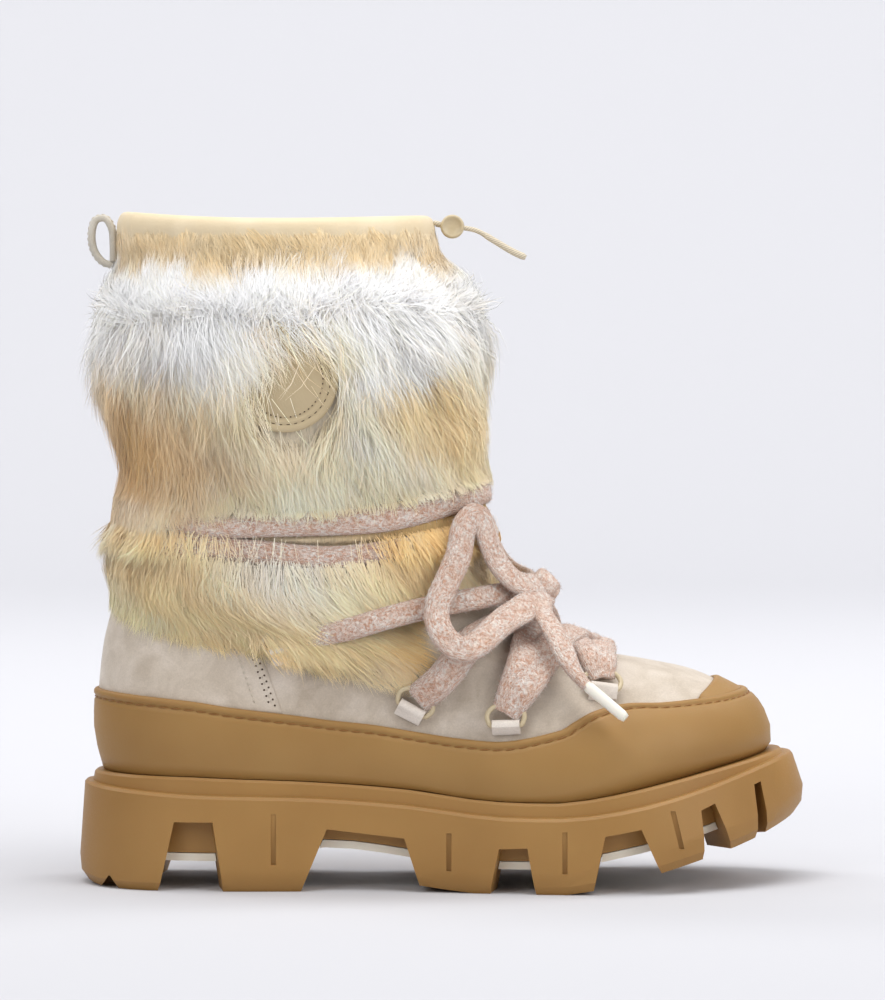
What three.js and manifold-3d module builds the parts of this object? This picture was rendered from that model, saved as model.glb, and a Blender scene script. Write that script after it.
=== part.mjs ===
// Après-ski boot for the right foot: a lug sole, a suede foot, a fox-fur shaft and cuff, and a wool lace.
// Millimetres. +X runs to the toe, +Z up, -Y is the outer side. The floor is z = 0.
import * as THREE from 'three';
import Module from 'manifold-3d';

const wasm = await Module();
wasm.setup();

// Overall sizes.
const SOLE_LENGTH = 290;
const BALL_WIDTH = 106;
const BOOT_HEIGHT = 267;
const HEEL_STACK = 45;
const HEEL_REST_INSET = 24;

// Walls and clearances.
const GAP = 0.3;
const FIT = 0.4;
const WALL = 2.2;
const RAND_WALL = 2.2;
const RAND_HEIGHT = 33;
const CAP_WALL = 2;
const INSOLE_THICKNESS = 4;
const PLATE_THICKNESS = 3;

// Sole.
const CORE_INSET = 9;
const LUG_DEPTH = 23;
const GROOVE_WIDTH = 2;
const GROOVE_DEPTH = 1.6;
const NOTCH_WIDTH = 7;
const NOTCH_HEIGHT = 5;

// Collar, loop and badge.
const COLLAR_HEIGHT = 16;
const COLLAR_WALL = 2.1;
const LOOP_WIDTH = 8;
const LOOP_STRAP = 2;
const BADGE_DIAMETER = 42;
const BADGE_THICKNESS = 1.8;
const BADGE_DEPTH = 9;

// Draw cord and its lock.
const CORD_DIAMETER = 2;
const LOCK_DIAMETER = 9.5;
const LOCK_THICKNESS = 6;

// Lace and its rings.
const LACE_WIDTH = 10;
const LACE_THICKNESS = 3;
const AGLET_LENGTH = 20.5;
const AGLET_DIAMETER = 4.6;
const RING_WIDTH = 16.8;
const RING_HEIGHT = 10.5;
const RING_WIRE = 2;
const TAB_WIDTH = 10.8;
const TAB_LENGTH = 6;
const TAB_SHEET = 1.1;

// Fur.
const FUR_DEPTH = 17;
const CUFF_DEPTH = 9;
const ANKLE_FUR = 6.6;
const LOCK_LENGTH = 15;
const LOCK_WIDTH = 7;
const SHAFT_LOCKS = 36;
const CUFF_LOCKS = 24;
const FUR_TOLERANCE = 0.25;
const LACE_TOLERANCE = 0.12;

const AROUND = 44;
const SOLE_AROUND = 72;
const TURN = Math.PI * 2;
const UPPER_TOP = BOOT_HEIGHT - COLLAR_HEIGHT / 2;
const UPPER_HEIGHT = UPPER_TOP - HEEL_STACK;

// One object per row, with the columns that the first argument names.
function table(columns, rows) {
  const names = columns.split(' ');
  return rows.map((row) => Object.fromEntries(names.map((name, index) => [name, row[index]])));
}

// Heights along the sole: along is a share of SOLE_LENGTH, rand of RAND_HEIGHT, the rest of HEEL_STACK.
const SOLE_ROWS = table('along ground plate wall ledge rand', [
  [0, 0.0444, 0.3333, 0.92, 1, 1],
  [0.0414, 0, 0.3333, 0.8889, 1, 0.9848],
  [0.1552, 0, 0.3244, 0.84, 0.9889, 0.9121],
  [0.2138, 0, 0.3289, 0.8289, 0.9733, 0.8545],
  [0.2966, 0, 0.4, 0.8178, 0.9556, 0.7879],
  [0.3448, 0.0044, 0.4444, 0.8044, 0.9378, 0.7515],
  [0.4069, 0.0311, 0.4089, 0.7778, 0.9111, 0.7273],
  [0.4724, 0.0711, 0.3467, 0.7422, 0.8711, 0.6909],
  [0.5207, 0, 0.3022, 0.6978, 0.8222, 0.697],
  [0.5862, 0, 0.2733, 0.6622, 0.7889, 0.7121],
  [0.6621, 0, 0.2889, 0.6622, 0.7867, 0.8515],
  [0.6759, 0, 0.3, 0.669, 0.797, 0.908],
  [0.7069, 0.04, 0.3333, 0.6889, 0.8267, 1.003],
  [0.7483, 0.1022, 0.3911, 0.7333, 0.8778, 0.997],
  [0.7966, 0.1844, 0.4556, 0.8, 0.9444, 0.9],
  [0.869, 0.3222, 0.5889, 0.9333, 1.0489, 0.797],
  [0.9172, 0.4178, 0.6889, 1.0333, 1.1111, 0.7697],
  [0.9655, 0.5444, 0.8, 1.1222, 1.1689, 0.7818],
  [1, 0.6333, 0.8667, 1.1444, 1.1778, 0.803],
]);

// The sole's outline: turn is a share of the half turn from heel to toe, the rest of half BALL_WIDTH.
const OUTLINE_ROWS = table('turn half centre', [
  [0, 0, 0],
  [0.0833, 0.3491, 0],
  [0.1667, 0.6302, -0.0038],
  [0.25, 0.766, -0.0132],
  [0.3333, 0.7736, -0.0283],
  [0.4167, 0.7358, -0.0509],
  [0.5, 0.7811, -0.083],
  [0.5833, 0.9132, -0.083],
  [0.6667, 0.9962, -0.0321],
  [0.75, 0.917, 0.0528],
  [0.8333, 0.6792, 0.1396],
  [0.9167, 0.3679, 0.2075],
  [1, 0, 0.2264],
]);

// The upper from its feather edge to its top: back and front are shares of SOLE_LENGTH, the rises of
// UPPER_HEIGHT, heel, ball and half of BALL_WIDTH. Bed and foot say how far a level follows the sole.
const LEVELS = table('back front backRise frontRise bed foot heel ball half backPower frontPower', [
  [0.0421, 0.0603, 0, 0, 1, 1, 0.0906, 0.0981, 0.434, 0.7, 1],
  [0.0307, 0.0538, 0.0701, 0.0252, 1, 1, 0.0698, 0.0774, 0.4245, 0.68, 1],
  [0.0297, 0.0614, 0.1262, 0.0654, 1, 1, 0.0679, 0.0868, 0.4057, 0.66, 1],
  [0.0303, 0.0779, 0.1636, 0.1028, 1, 1, 0.0717, 0.1094, 0.3868, 0.64, 1],
  [0.0331, 0.1076, 0.2009, 0.1379, 0.85, 0.78, 0.0811, 0.1368, 0.3717, 0.62, 1],
  [0.0372, 0.1586, 0.2383, 0.1813, 0.7, 0.45, 0.0906, 0.1604, 0.3585, 0.62, 1],
  [0.0428, 0.2207, 0.271, 0.2093, 0.5, 0.22, 0.0943, 0.1604, 0.3491, 0.64, 1],
  [0.0483, 0.2966, 0.2991, 0.2327, 0.35, 0.1, 0.0943, 0.1604, 0.3453, 0.66, 1],
  [0.0538, 0.3552, 0.3271, 0.2565, 0.2, 0, 0.0943, 0.1604, 0.3491, 0.68, 0.96],
  [0.0593, 0.4, 0.3551, 0.2939, 0.1, 0, 0.0943, 0.1604, 0.3566, 0.7, 0.92],
  [0.0648, 0.431, 0.3879, 0.3551, 0, 0, 0.0943, 0.1604, 0.3679, 0.72, 0.88],
  [0.0707, 0.4483, 0.4346, 0.4439, 0, 0, 0.0943, 0.1604, 0.383, 0.74, 0.85],
  [0.0752, 0.4586, 0.5, 0.528, 0, 0, 0.0943, 0.1604, 0.4, 0.76, 0.83],
  [0.0759, 0.469, 0.6075, 0.6308, 0, 0, 0.0943, 0.1604, 0.4245, 0.78, 0.82],
  [0.0724, 0.4828, 0.7243, 0.7383, 0, 0, 0.0943, 0.1604, 0.4415, 0.8, 0.82],
  [0.0683, 0.5017, 0.8551, 0.8598, 0, 0, 0.0943, 0.1604, 0.4491, 0.8, 0.82],
  [0.0641, 0.5207, 1, 0.9953, 0, 0, 0.0943, 0.1604, 0.4491, 0.8, 0.82],
]);

// The gaps between the side lugs: rear and front edge at the floor and at the roof, as shares of
// SOLE_LENGTH, the roof's height there as shares of HEEL_STACK, and how far the gap leans going in.
const LUG_GAPS = table('rear front topRear topFront rearRoof frontRoof lean', [
  [0.1255, 0.2131, 0.1466, 0.1983, 0.6067, 0.6067, -0.0138],
  [0.3097, 0.471, 0.3434, 0.4483, 0.5467, 0.4711, 0],
  [0.5559, 0.62, 0.569, 0.6083, 0.3933, 0.4044, 0.0172],
  [0.7034, 0.7976, 0.7169, 0.7655, 0.5111, 0.5689, 0.0069],
  [0.8686, 0.9155, 0.8648, 0.8869, 0.72, 0.7733, -0.0276],
  [0.9655, 0.9845, 0.9621, 0.9752, 0.9111, 0.9333, -0.0345],
]);

// Upright grooves in the lug walls: along and lean as shares of SOLE_LENGTH, low and high of HEEL_STACK.
const WALL_GROOVES = table('along low high lean', [
  [0.2714, 0.2378, 0.6778, 0],
  [0.5086, 0.1933, 0.5222, 0],
  [0.6645, 0.1867, 0.5489, 0],
  [0.8224, 0.3933, 0.7222, -0.0121],
]);

// Depth of the shaft fur as shares of FUR_DEPTH, from its lower edge to its upper edge.
const SHAFT_FUR = table('up back side front', [
  [0, 0.16, 0.3, 0.24],
  [0.08, 0.24, 0.5, 0.36],
  [0.2, 0.46, 0.68, 0.5],
  [0.34, 0.74, 0.82, 0.62],
  [0.48, 0.95, 0.92, 0.84],
  [0.6, 1, 0.96, 1],
  [0.74, 0.88, 0.9, 1],
  [0.86, 0.66, 0.7, 0.78],
  [0.95, 0.3, 0.4, 0.42],
  [1, 0.12, 0.14, 0.16],
]);

// Depth of the cuff fur as shares of CUFF_DEPTH, from its lower tips up to the ankle.
const CUFF_FUR = table('up back side front', [
  [0, 0.16, 0.18, 0.18],
  [0.12, 0.5, 0.5, 0.4],
  [0.3, 0.95, 0.9, 0.6],
  [0.5, 1, 1, 0.72],
  [0.7, 0.95, 0.9, 0.74],
  [0.85, 0.8, 0.74, 0.72],
  [1, 0.6, 0.6, 0.6],
]);

// Heights round the leg, from back to front, as shares of BOOT_HEIGHT.
const EDGE_ROWS = table('turn cuffLow furLow furTop upperLace lowerLace', [
  [0, 0.427, 0.577, 0.933, 0.556, 0.516],
  [0.11, 0.41, 0.574, 0.934, 0.552, 0.513],
  [0.2, 0.384, 0.569, 0.935, 0.549, 0.51],
  [0.27, 0.364, 0.565, 0.935, 0.545, 0.509],
  [0.35, 0.35, 0.562, 0.935, 0.541, 0.505],
  [0.4, 0.33, 0.56, 0.935, 0.54, 0.502],
  [0.45, 0.318, 0.559, 0.935, 0.54, 0.5],
  [0.51, 0.324, 0.56, 0.935, 0.541, 0.498],
  [0.56, 0.36, 0.562, 0.935, 0.544, 0.498],
  [0.63, 0.393, 0.568, 0.935, 0.55, 0.501],
  [0.75, 0.43, 0.582, 0.934, 0.564, 0.508],
  [1, 0.452, 0.604, 0.933, 0.584, 0.526],
]);

// Value of a column at a place along the table, on a smooth curve through its rows.
function smooth(rows, key, column, at) {
  let index = 0;
  while (index < rows.length - 2 && at > rows[index + 1][key]) {
    index += 1;
  }
  const [before, start, end, after] = [-1, 0, 1, 2].map((step) => {
    return rows[Math.min(Math.max(index + step, 0), rows.length - 1)];
  });
  const span = end[key] - start[key];
  const share = Math.min(Math.max((at - start[key]) / span, 0), 1);
  const slope = (from, to) => (to[column] - from[column]) / Math.max(to[key] - from[key], 1e-9);
  const entry = slope(before, end) * span;
  const exit = slope(start, after) * span;
  const square = share * share;
  const cube = square * share;
  return start[column] * (2 * cube - 3 * square + 1) + entry * (cube - 2 * square + share)
    + end[column] * (3 * square - 2 * cube) + exit * (cube - square);
}

const LEVEL_ROWS = LEVELS.map((row, index) => ({ ...row, at: index / (LEVELS.length - 1) }));
const lerp = THREE.MathUtils.lerp;

function soleHeight(column, x) {
  return Math.max(smooth(SOLE_ROWS, 'along', column, x / SOLE_LENGTH), 0) * HEEL_STACK;
}

function randTop(x) {
  return soleHeight('ledge', x) + smooth(SOLE_ROWS, 'along', 'rand', x / SOLE_LENGTH) * RAND_HEIGHT;
}

// Share of the half turn from heel (0) to toe (1), the same on both sides.
function turnShare(angle) {
  const folded = ((angle % TURN) + TURN) % TURN;
  return Math.min(folded, TURN - folded) / Math.PI;
}

function outward(angle) {
  return Math.sin(angle) >= 0 ? -1 : 1;
}

// A point of the sole's outline, moved in by the four insets.
function planPoint(angle, inset) {
  const share = (1 - Math.cos(angle)) / 2;
  const x = lerp(inset.back, SOLE_LENGTH - inset.front, share);
  const turn = turnShare(angle);
  const side = lerp(inset.heel, inset.ball, THREE.MathUtils.smoothstep(share, 0.25, 0.6));
  const taper = Math.min(1, 1.35 * Math.sin(turn * Math.PI));
  const half = Math.max(smooth(OUTLINE_ROWS, 'turn', 'half', turn) * BALL_WIDTH / 2 - side * taper, 0);
  const centre = smooth(OUTLINE_ROWS, 'turn', 'centre', turn) * BALL_WIDTH / 2;
  return { x, y: centre + outward(angle) * half, share, centre };
}

// A point of the upper's outer face: angle runs round from the heel, level from the feather edge up.
function upperPoint(angle, level) {
  const row = {};
  for (const column of Object.keys(LEVELS[0])) {
    row[column] = smooth(LEVEL_ROWS, 'at', column, level);
  }
  const inset = {
    back: row.back * SOLE_LENGTH,
    front: row.front * SOLE_LENGTH,
    heel: row.heel * BALL_WIDTH,
    ball: row.ball * BALL_WIDTH,
  };
  const foot = planPoint(angle, inset);
  const power = lerp(row.backPower, row.frontPower, foot.share);
  const round = Math.pow(Math.abs(Math.sin(angle)), power) * row.half * BALL_WIDTH;
  const y = lerp(outward(angle) * round, foot.y, row.foot) + foot.centre * row.bed * (1 - row.foot);
  const base = lerp(HEEL_STACK, soleHeight('ledge', foot.x), row.bed) + GAP;
  const rise = lerp(row.backRise, row.frontRise, foot.share) * (UPPER_HEIGHT - GAP);
  return new THREE.Vector3(foot.x, y, base + rise);
}

function upperNormal(angle, level) {
  const turnStep = 0.02;
  const levelStep = 0.012;
  const low = Math.max(level - levelStep, 0);
  const high = Math.min(level + levelStep, 1);
  const around = upperPoint(angle + turnStep, level).sub(upperPoint(angle - turnStep, level));
  const up = upperPoint(angle, high).sub(upperPoint(angle, low));
  return around.cross(up).normalize();
}

function overUpper(angle, level, offset) {
  return upperPoint(angle, level).addScaledVector(upperNormal(angle, level), offset);
}

// The level at which the upper reaches a height on this angle.
function levelAt(angle, height) {
  let low = 0;
  let high = 1;
  for (let step = 0; step < 26; step += 1) {
    const middle = (low + high) / 2;
    if (upperPoint(angle, middle).z < height) {
      low = middle;
    } else {
      high = middle;
    }
  }
  return (low + high) / 2;
}

// Angle and level of the upper nearest to a point.
const SEARCH = [];
for (let turn = 0; turn < 96; turn += 1) {
  for (let step = 0; step <= 48; step += 1) {
    const angle = turn / 96 * TURN;
    SEARCH.push({ angle, level: step / 48, point: upperPoint(angle, step / 48) });
  }
}

function nearest(point) {
  let best = SEARCH[0];
  let distance = Infinity;
  for (const candidate of SEARCH) {
    const found = candidate.point.distanceToSquared(point);
    if (found < distance) {
      distance = found;
      best = candidate;
    }
  }
  let { angle, level } = best;
  let turnStep = TURN / 96;
  let levelStep = 1 / 48;
  for (let pass = 0; pass < 22; pass += 1) {
    let moved = false;
    for (const [turn, rise] of [[1, 0], [-1, 0], [0, 1], [0, -1]]) {
      const nextAngle = angle + turn * turnStep;
      const nextLevel = THREE.MathUtils.clamp(level + rise * levelStep, 0, 1);
      const found = upperPoint(nextAngle, nextLevel).distanceToSquared(point);
      if (found < distance) {
        distance = found;
        angle = nextAngle;
        level = nextLevel;
        moved = true;
      }
    }
    if (!moved) {
      turnStep /= 2;
      levelStep /= 2;
    }
  }
  return { angle, level };
}

// Closed faces from points and triangles, turned to face out.
function body(points, triangles) {
  let volume = 0;
  for (const [a, b, c] of triangles) {
    volume += points[a].dot(new THREE.Vector3().crossVectors(points[b], points[c]));
  }
  const order = volume < 0 ? triangles.map(([a, b, c]) => [a, c, b]) : triangles;
  return new wasm.Manifold(new wasm.Mesh({
    numProp: 3,
    vertProperties: Float32Array.from(points.flatMap((point) => point.toArray())),
    triVerts: Uint32Array.from(order.flat()),
  }));
}

// A wall that closes on itself both ways: one closed section at each of the angles.
function ringBody(sectionAt, steps = AROUND) {
  const sections = Array.from({ length: steps }, (_, index) => sectionAt(index / steps * TURN));
  const size = sections[0].length;
  const triangles = [];
  for (let turn = 0; turn < steps; turn += 1) {
    const next = (turn + 1) % steps;
    for (let index = 0; index < size; index += 1) {
      const other = (index + 1) % size;
      const [a, b] = [turn * size + index, turn * size + other];
      const [c, d] = [next * size + other, next * size + index];
      triangles.push([a, b, c], [a, c, d]);
    }
  }
  return body(sections.flat(), triangles);
}

// A capped loft through rings of the same even count.
function loftBody(rings) {
  const size = rings[0].length;
  const triangles = [];
  for (let ring = 0; ring < rings.length - 1; ring += 1) {
    for (let index = 0; index < size; index += 1) {
      const other = (index + 1) % size;
      const [a, b] = [ring * size + index, ring * size + other];
      triangles.push([a, b, b + size], [a, b + size, a + size]);
    }
  }
  const cap = (start, flip) => {
    for (let index = 0; index < size / 2; index += 1) {
      const [a, b] = [start + index, start + index + 1];
      const [c, d] = [start + size - 1 - index, start + (size - index) % size];
      const faces = index === 0 ? [[a, b, c]] : [[a, b, c], [a, c, d]];
      const kept = faces.filter((face) => new Set(face).size === 3);
      triangles.push(...kept.map(([p, q, r]) => (flip ? [p, r, q] : [p, q, r])));
    }
  };
  cap(0, true);
  cap((rings.length - 1) * size, false);
  return body(rings.flat(), triangles);
}

function planRing(inset, heightAt, steps = SOLE_AROUND) {
  return Array.from({ length: steps }, (_, index) => {
    const { x, y } = planPoint(index / steps * TURN, inset);
    return new THREE.Vector3(x, y, heightAt(x));
  });
}

const evenInset = (size) => ({ back: size, heel: size, ball: size, front: size });

function joined(bodies) {
  return bodies.reduce((sum, next) => sum.add(next));
}

function without(whole, cutters) {
  return cutters.reduce((rest, cutter) => rest.subtract(cutter), whole);
}

// The biggest of the separate bodies that a cut leaves.
function mainBody(whole) {
  return whole.decompose().sort((a, b) => b.volume() - a.volume())[0];
}

const BAND_CORNERS = [[1, 0], [0.78, 1], [-0.78, 1], [-1, 0], [-0.78, -1], [0.78, -1]];
const SLOT_CORNERS = [[1, 6], [-1, 6], [-1, -1], [1, -1]];

// A flat band with rounded edges along a path of { point, normal }, closed at both ends.
function tapeBody(path, width, thickness, swell = 0, corners = BAND_CORNERS) {
  const points = path.map((station) => station.point);
  const rings = path.map((station, index) => {
    const ahead = points[Math.min(index + 1, points.length - 1)];
    const behind = points[Math.max(index - 1, 0)];
    const forward = ahead.clone().sub(behind).normalize();
    const across = new THREE.Vector3().crossVectors(forward, station.normal).normalize();
    const out = new THREE.Vector3().crossVectors(across, forward).normalize();
    const halfWidth = (width * (station.width ?? 1)) / 2 + swell;
    const half = (thickness * (station.thickness ?? 1)) / 2 + swell;
    return corners.map(([side, rise]) => station.point.clone()
      .addScaledVector(across, side * halfWidth).addScaledVector(out, rise * half));
  });
  return loftBody(rings);
}

function spikeBody(path, width, thickness, swell) {
  return tapeBody(path, width, thickness, swell, [[1, -0.4], [0, 1], [-1, -0.4], [0, -1]]);
}

// Evenly spaced stations on a smooth curve through the given points.
function curvePoints(points, steps, closed = false) {
  const curve = new THREE.CatmullRomCurve3(points, closed, 'centripetal');
  return curve.getSpacedPoints(steps);
}

// How far a band at this station must rise so that its inner face clears the upper.
function clearLift(point, normal, forward, width, thickness) {
  const across = new THREE.Vector3().crossVectors(forward, normal).normalize();
  let lift = 0;
  for (const share of [-0.9, -0.45, 0, 0.45, 0.9]) {
    const corner = point.clone().addScaledVector(across, share * width / 2)
      .addScaledVector(normal, -thickness / 2);
    const under = nearest(corner);
    const surface = upperPoint(under.angle, under.level);
    const height = corner.sub(surface).dot(upperNormal(under.angle, under.level));
    lift = Math.max(lift, FIT * 2 + GAP - height);
  }
  return lift;
}

// The same path, raised where its band or the chord to the next station would touch the upper.
function settle(path, width, thickness) {
  const count = path.length;
  const lifts = path.map((station, index) => {
    const ahead = path[Math.min(index + 1, count - 1)];
    const behind = path[Math.max(index - 1, 0)];
    const forward = ahead.point.clone().sub(behind.point);
    const middle = station.point.clone().lerp(ahead.point, 0.5);
    const own = clearLift(station.point, station.normal, forward, width, thickness);
    return Math.max(own, clearLift(middle, station.normal, forward, width, thickness));
  });
  return path.map((station, index) => {
    const lift = Math.max(lifts[index], lifts[Math.max(index - 1, 0)]);
    return { ...station, point: station.point.clone().addScaledVector(station.normal, lift) };
  });
}

// A path that lies over the upper, at offsets that run with the path.
function hugPath(points, offsets, steps) {
  return curvePoints(points, steps).map((point, index) => {
    const place = nearest(point);
    const at = index / steps * (offsets.length - 1);
    const first = Math.min(Math.floor(at), offsets.length - 2);
    const offset = lerp(offsets[first], offsets[first + 1], at - first);
    const normal = upperNormal(place.angle, place.level);
    return { point: upperPoint(place.angle, place.level).addScaledVector(normal, offset), normal };
  });
}

// A flat outline of [across, up] pairs carried between two stations, with flat ends.
function prismBody(profile, place, low, high) {
  const contour = profile.map(([across, up]) => new THREE.Vector2(across, up));
  const faces = THREE.ShapeUtils.triangulateShape(contour, []);
  const size = profile.length;
  const triangles = [];
  for (let index = 0; index < size; index += 1) {
    const other = (index + 1) % size;
    triangles.push([index, other, other + size], [index, other + size, index + size]);
  }
  const flip = THREE.ShapeUtils.isClockWise(contour);
  for (const [a, b, c] of faces) {
    const far = [a + size, b + size, c + size];
    triangles.push(flip ? [a, b, c] : [a, c, b], flip ? [far[0], far[2], far[1]] : far);
  }
  const points = [low, high].flatMap(
    (station) => profile.map(([across, up]) => place(across, up, station)));
  return body(points, triangles);
}

function tubeBody(points, radius, sides = 8) {
  const rings = points.map((point, index) => {
    const ahead = points[Math.min(index + 1, points.length - 1)];
    const behind = points[Math.max(index - 1, 0)];
    const forward = ahead.clone().sub(behind).normalize();
    const guide = Math.abs(forward.y) > 0.8 ? new THREE.Vector3(0, 0, 1) : new THREE.Vector3(0, 1, 0);
    const across = new THREE.Vector3().crossVectors(forward, guide).normalize();
    const out = new THREE.Vector3().crossVectors(across, forward).normalize();
    return Array.from({ length: sides }, (_, side) => point.clone()
      .addScaledVector(across, Math.cos(side / sides * TURN) * radius)
      .addScaledVector(out, Math.sin(side / sides * TURN) * radius));
  });
  return loftBody(rings);
}

// Outsole: a bevelled block with a ledge, cut from below by the lug gaps and the middle recess.
const BLOCK_RINGS = [
  { back: 3.4, heel: 2.6, ball: 2.6, front: 3.6, column: 'ground', lift: 0 },
  { back: 0.5, heel: 0.4, ball: 0.4, front: 0.5, column: 'ground', lift: 3.4 },
  { back: 0, heel: 0, ball: 0, front: 0, column: 'ground', lift: 9 },
  { back: 2, heel: 1.5, ball: 1.5, front: 4.2, column: 'wall', lift: -1.2 },
  { back: 3, heel: 2.5, ball: 2.5, front: 5.2, column: 'wall', lift: 0 },
  { back: 5.4, heel: 4.9, ball: 4.9, front: 8, column: 'wall', lift: 0.2 },
  { back: 6, heel: 5.4, ball: 5.4, front: 8.6, column: 'ledge', lift: -1 },
  { back: 7, heel: 6.4, ball: 6.4, front: 9.6, column: 'ledge', lift: 0 },
];

function soleBlock() {
  return loftBody(BLOCK_RINGS.map((ring) => planRing(ring, (x) => soleHeight(ring.column, x) + ring.lift)));
}

function recessBody(shrink) {
  const inset = {
    back: HEEL_REST_INSET + 8 + shrink,
    heel: LUG_DEPTH - 3 + shrink,
    ball: LUG_DEPTH + shrink,
    front: LUG_DEPTH + 12 + shrink,
  };
  return loftBody([
    planRing(inset, () => -HEEL_STACK),
    planRing(inset, (x) => soleHeight('plate', x)),
  ]);
}

function coreBody() {
  const inset = evenInset(CORE_INSET);
  return loftBody([
    planRing(inset, (x) => soleHeight('plate', x)),
    planRing(inset, () => HEEL_STACK * 2),
  ]);
}

function gapBody(row, side, shrink) {
  const wide = BALL_WIDTH / 2 + CORE_INSET;
  const roof = { rear: row.rearRoof * HEEL_STACK, front: row.frontRoof * HEEL_STACK };
  const ground = soleHeight('ground', (row.rear + row.front) / 2 * SOLE_LENGTH);
  const below = ground - HEEL_STACK / 3;
  const edge = (low, high, top, height) => {
    const slope = (high - low) / (top - ground);
    return (low + slope * (height - ground)) * SOLE_LENGTH;
  };
  const corners = [
    [edge(row.rear, row.topRear, roof.rear, below) + shrink, below],
    [edge(row.front, row.topFront, roof.front, below) - shrink, below],
    [row.topFront * SOLE_LENGTH - shrink, roof.front - shrink],
    [row.topRear * SOLE_LENGTH + shrink, roof.rear - shrink],
  ];
  const ring = (across, shift) => corners.map(([x, z]) => new THREE.Vector3(x + shift, across, z));
  return loftBody([ring(side * wide, 0), ring(0, row.lean * SOLE_LENGTH * 2)]);
}

function grooveBody(row, side) {
  const x = row.along * SOLE_LENGTH;
  const turn = Math.acos(1 - 2 * row.along);
  const half = Math.abs(planPoint(side < 0 ? turn : TURN - turn, evenInset(0)).y);
  const ring = (across) => [
    [x - GROOVE_WIDTH / 2, row.low], [x + GROOVE_WIDTH / 2, row.low],
    [x + GROOVE_WIDTH / 2 + row.lean * SOLE_LENGTH, row.high],
    [x - GROOVE_WIDTH / 2 + row.lean * SOLE_LENGTH, row.high],
  ].map(([along, height]) => new THREE.Vector3(along, side * across, height * HEEL_STACK));
  return loftBody([ring(half + CORE_INSET), ring(half - GROOVE_DEPTH)]);
}

function notchBody(side) {
  const x = HEEL_STACK * 0.3;
  const ring = (across) => [
    [x - NOTCH_WIDTH, -NOTCH_HEIGHT], [x + NOTCH_WIDTH, -NOTCH_HEIGHT], [x + 0.4, NOTCH_HEIGHT],
    [x - 0.4, NOTCH_HEIGHT],
  ].map(([along, height]) => new THREE.Vector3(along, side * across, height));
  return loftBody([ring(BALL_WIDTH), ring(BALL_WIDTH * 0.12)]);
}

const SIDES = [-1, 1];

function lugBlock(shrink) {
  const gaps = SIDES.flatMap((side) => LUG_GAPS.map((row) => gapBody(row, side, shrink)));
  return without(soleBlock(), [recessBody(shrink), ...gaps]);
}

function outsoleBody() {
  const core = coreBody().intersect(soleBlock());
  const grooves = SIDES.flatMap((side) => WALL_GROOVES.map((row) => grooveBody(row, side)));
  return without(lugBlock(0).add(core), [...grooves, ...SIDES.map(notchBody)]);
}

function treadPlateBody() {
  const inset = evenInset(CORE_INSET);
  const plate = loftBody([
    planRing(inset, (x) => soleHeight('plate', x) - GAP - PLATE_THICKNESS),
    planRing(inset, (x) => soleHeight('plate', x) - GAP),
  ]);
  return mainBody(plate.subtract(lugBlock(GAP)));
}

// Insole: the feather edge's outline, inside the upper's wall.
function insoleBody() {
  const row = LEVELS[0];
  const clear = WALL + GAP * 2;
  const inset = (more) => ({
    back: row.back * SOLE_LENGTH + clear + more,
    front: row.front * SOLE_LENGTH + clear + more,
    heel: row.heel * BALL_WIDTH + clear + more,
    ball: row.ball * BALL_WIDTH + clear + more,
  });
  const bed = (lift) => (x) => soleHeight('ledge', x) + GAP + lift;
  return loftBody([
    planRing(inset(0), bed(0)),
    planRing(inset(0), bed(INSOLE_THICKNESS - 1)),
    planRing(inset(1), bed(INSOLE_THICKNESS)),
  ]);
}

// Upper: one wall from the feather edge to the collar, open at both ends.
const OUTER_STEPS = 22;
const INNER_STEPS = 9;

function upperBody() {
  return ringBody((angle) => {
    const outer = Array.from({ length: OUTER_STEPS + 1 }, (_, step) => {
      return upperPoint(angle, Math.pow(step / OUTER_STEPS, 1.12));
    });
    const inner = Array.from({ length: INNER_STEPS + 1 }, (_, step) => {
      const level = 1 - Math.pow(step / INNER_STEPS, 0.9);
      const point = overUpper(angle, level, -WALL);
      const rim = level === 1 || level === 0;
      return rim ? point.setZ(upperPoint(angle, level).z) : point;
    });
    return [...outer, ...inner];
  });
}

// Rand: a strip round the foot from the ledge to its stitched edge.
const RAND_STEPS = 6;

function randEdge(angle) {
  let x = upperPoint(angle, 0.1).x;
  let level = 0.1;
  for (let pass = 0; pass < 5; pass += 1) {
    level = levelAt(angle, randTop(x));
    x = upperPoint(angle, level).x;
  }
  return level;
}

function randBody() {
  return ringBody((angle) => {
    const top = randEdge(angle);
    const place = (share, offset) => overUpper(angle, top * share, offset);
    const inner = Array.from({ length: RAND_STEPS + 1 }, (_, step) => place(step / RAND_STEPS, FIT * 1.5));
    const outer = Array.from({ length: RAND_STEPS + 1 }, (_, step) => {
      const share = 1 - step / RAND_STEPS;
      return place(step === 0 ? 0.985 : share, FIT * 1.5 + RAND_WALL * (step === 0 ? 0.8 : 1));
    });
    const flat = (point) => {
      const floor = soleHeight('ledge', point.x) + GAP;
      return point.setZ(Math.max(point.z, floor));
    };
    return [...inner, ...outer].map(flat);
  });
}

// Toe cap: a thin shell over the toe, from the rand's edge back to a rounded edge on the vamp.
const CAP_SPAN = Math.PI * 0.165;
const CAP_RISE = 0.056;

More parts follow.
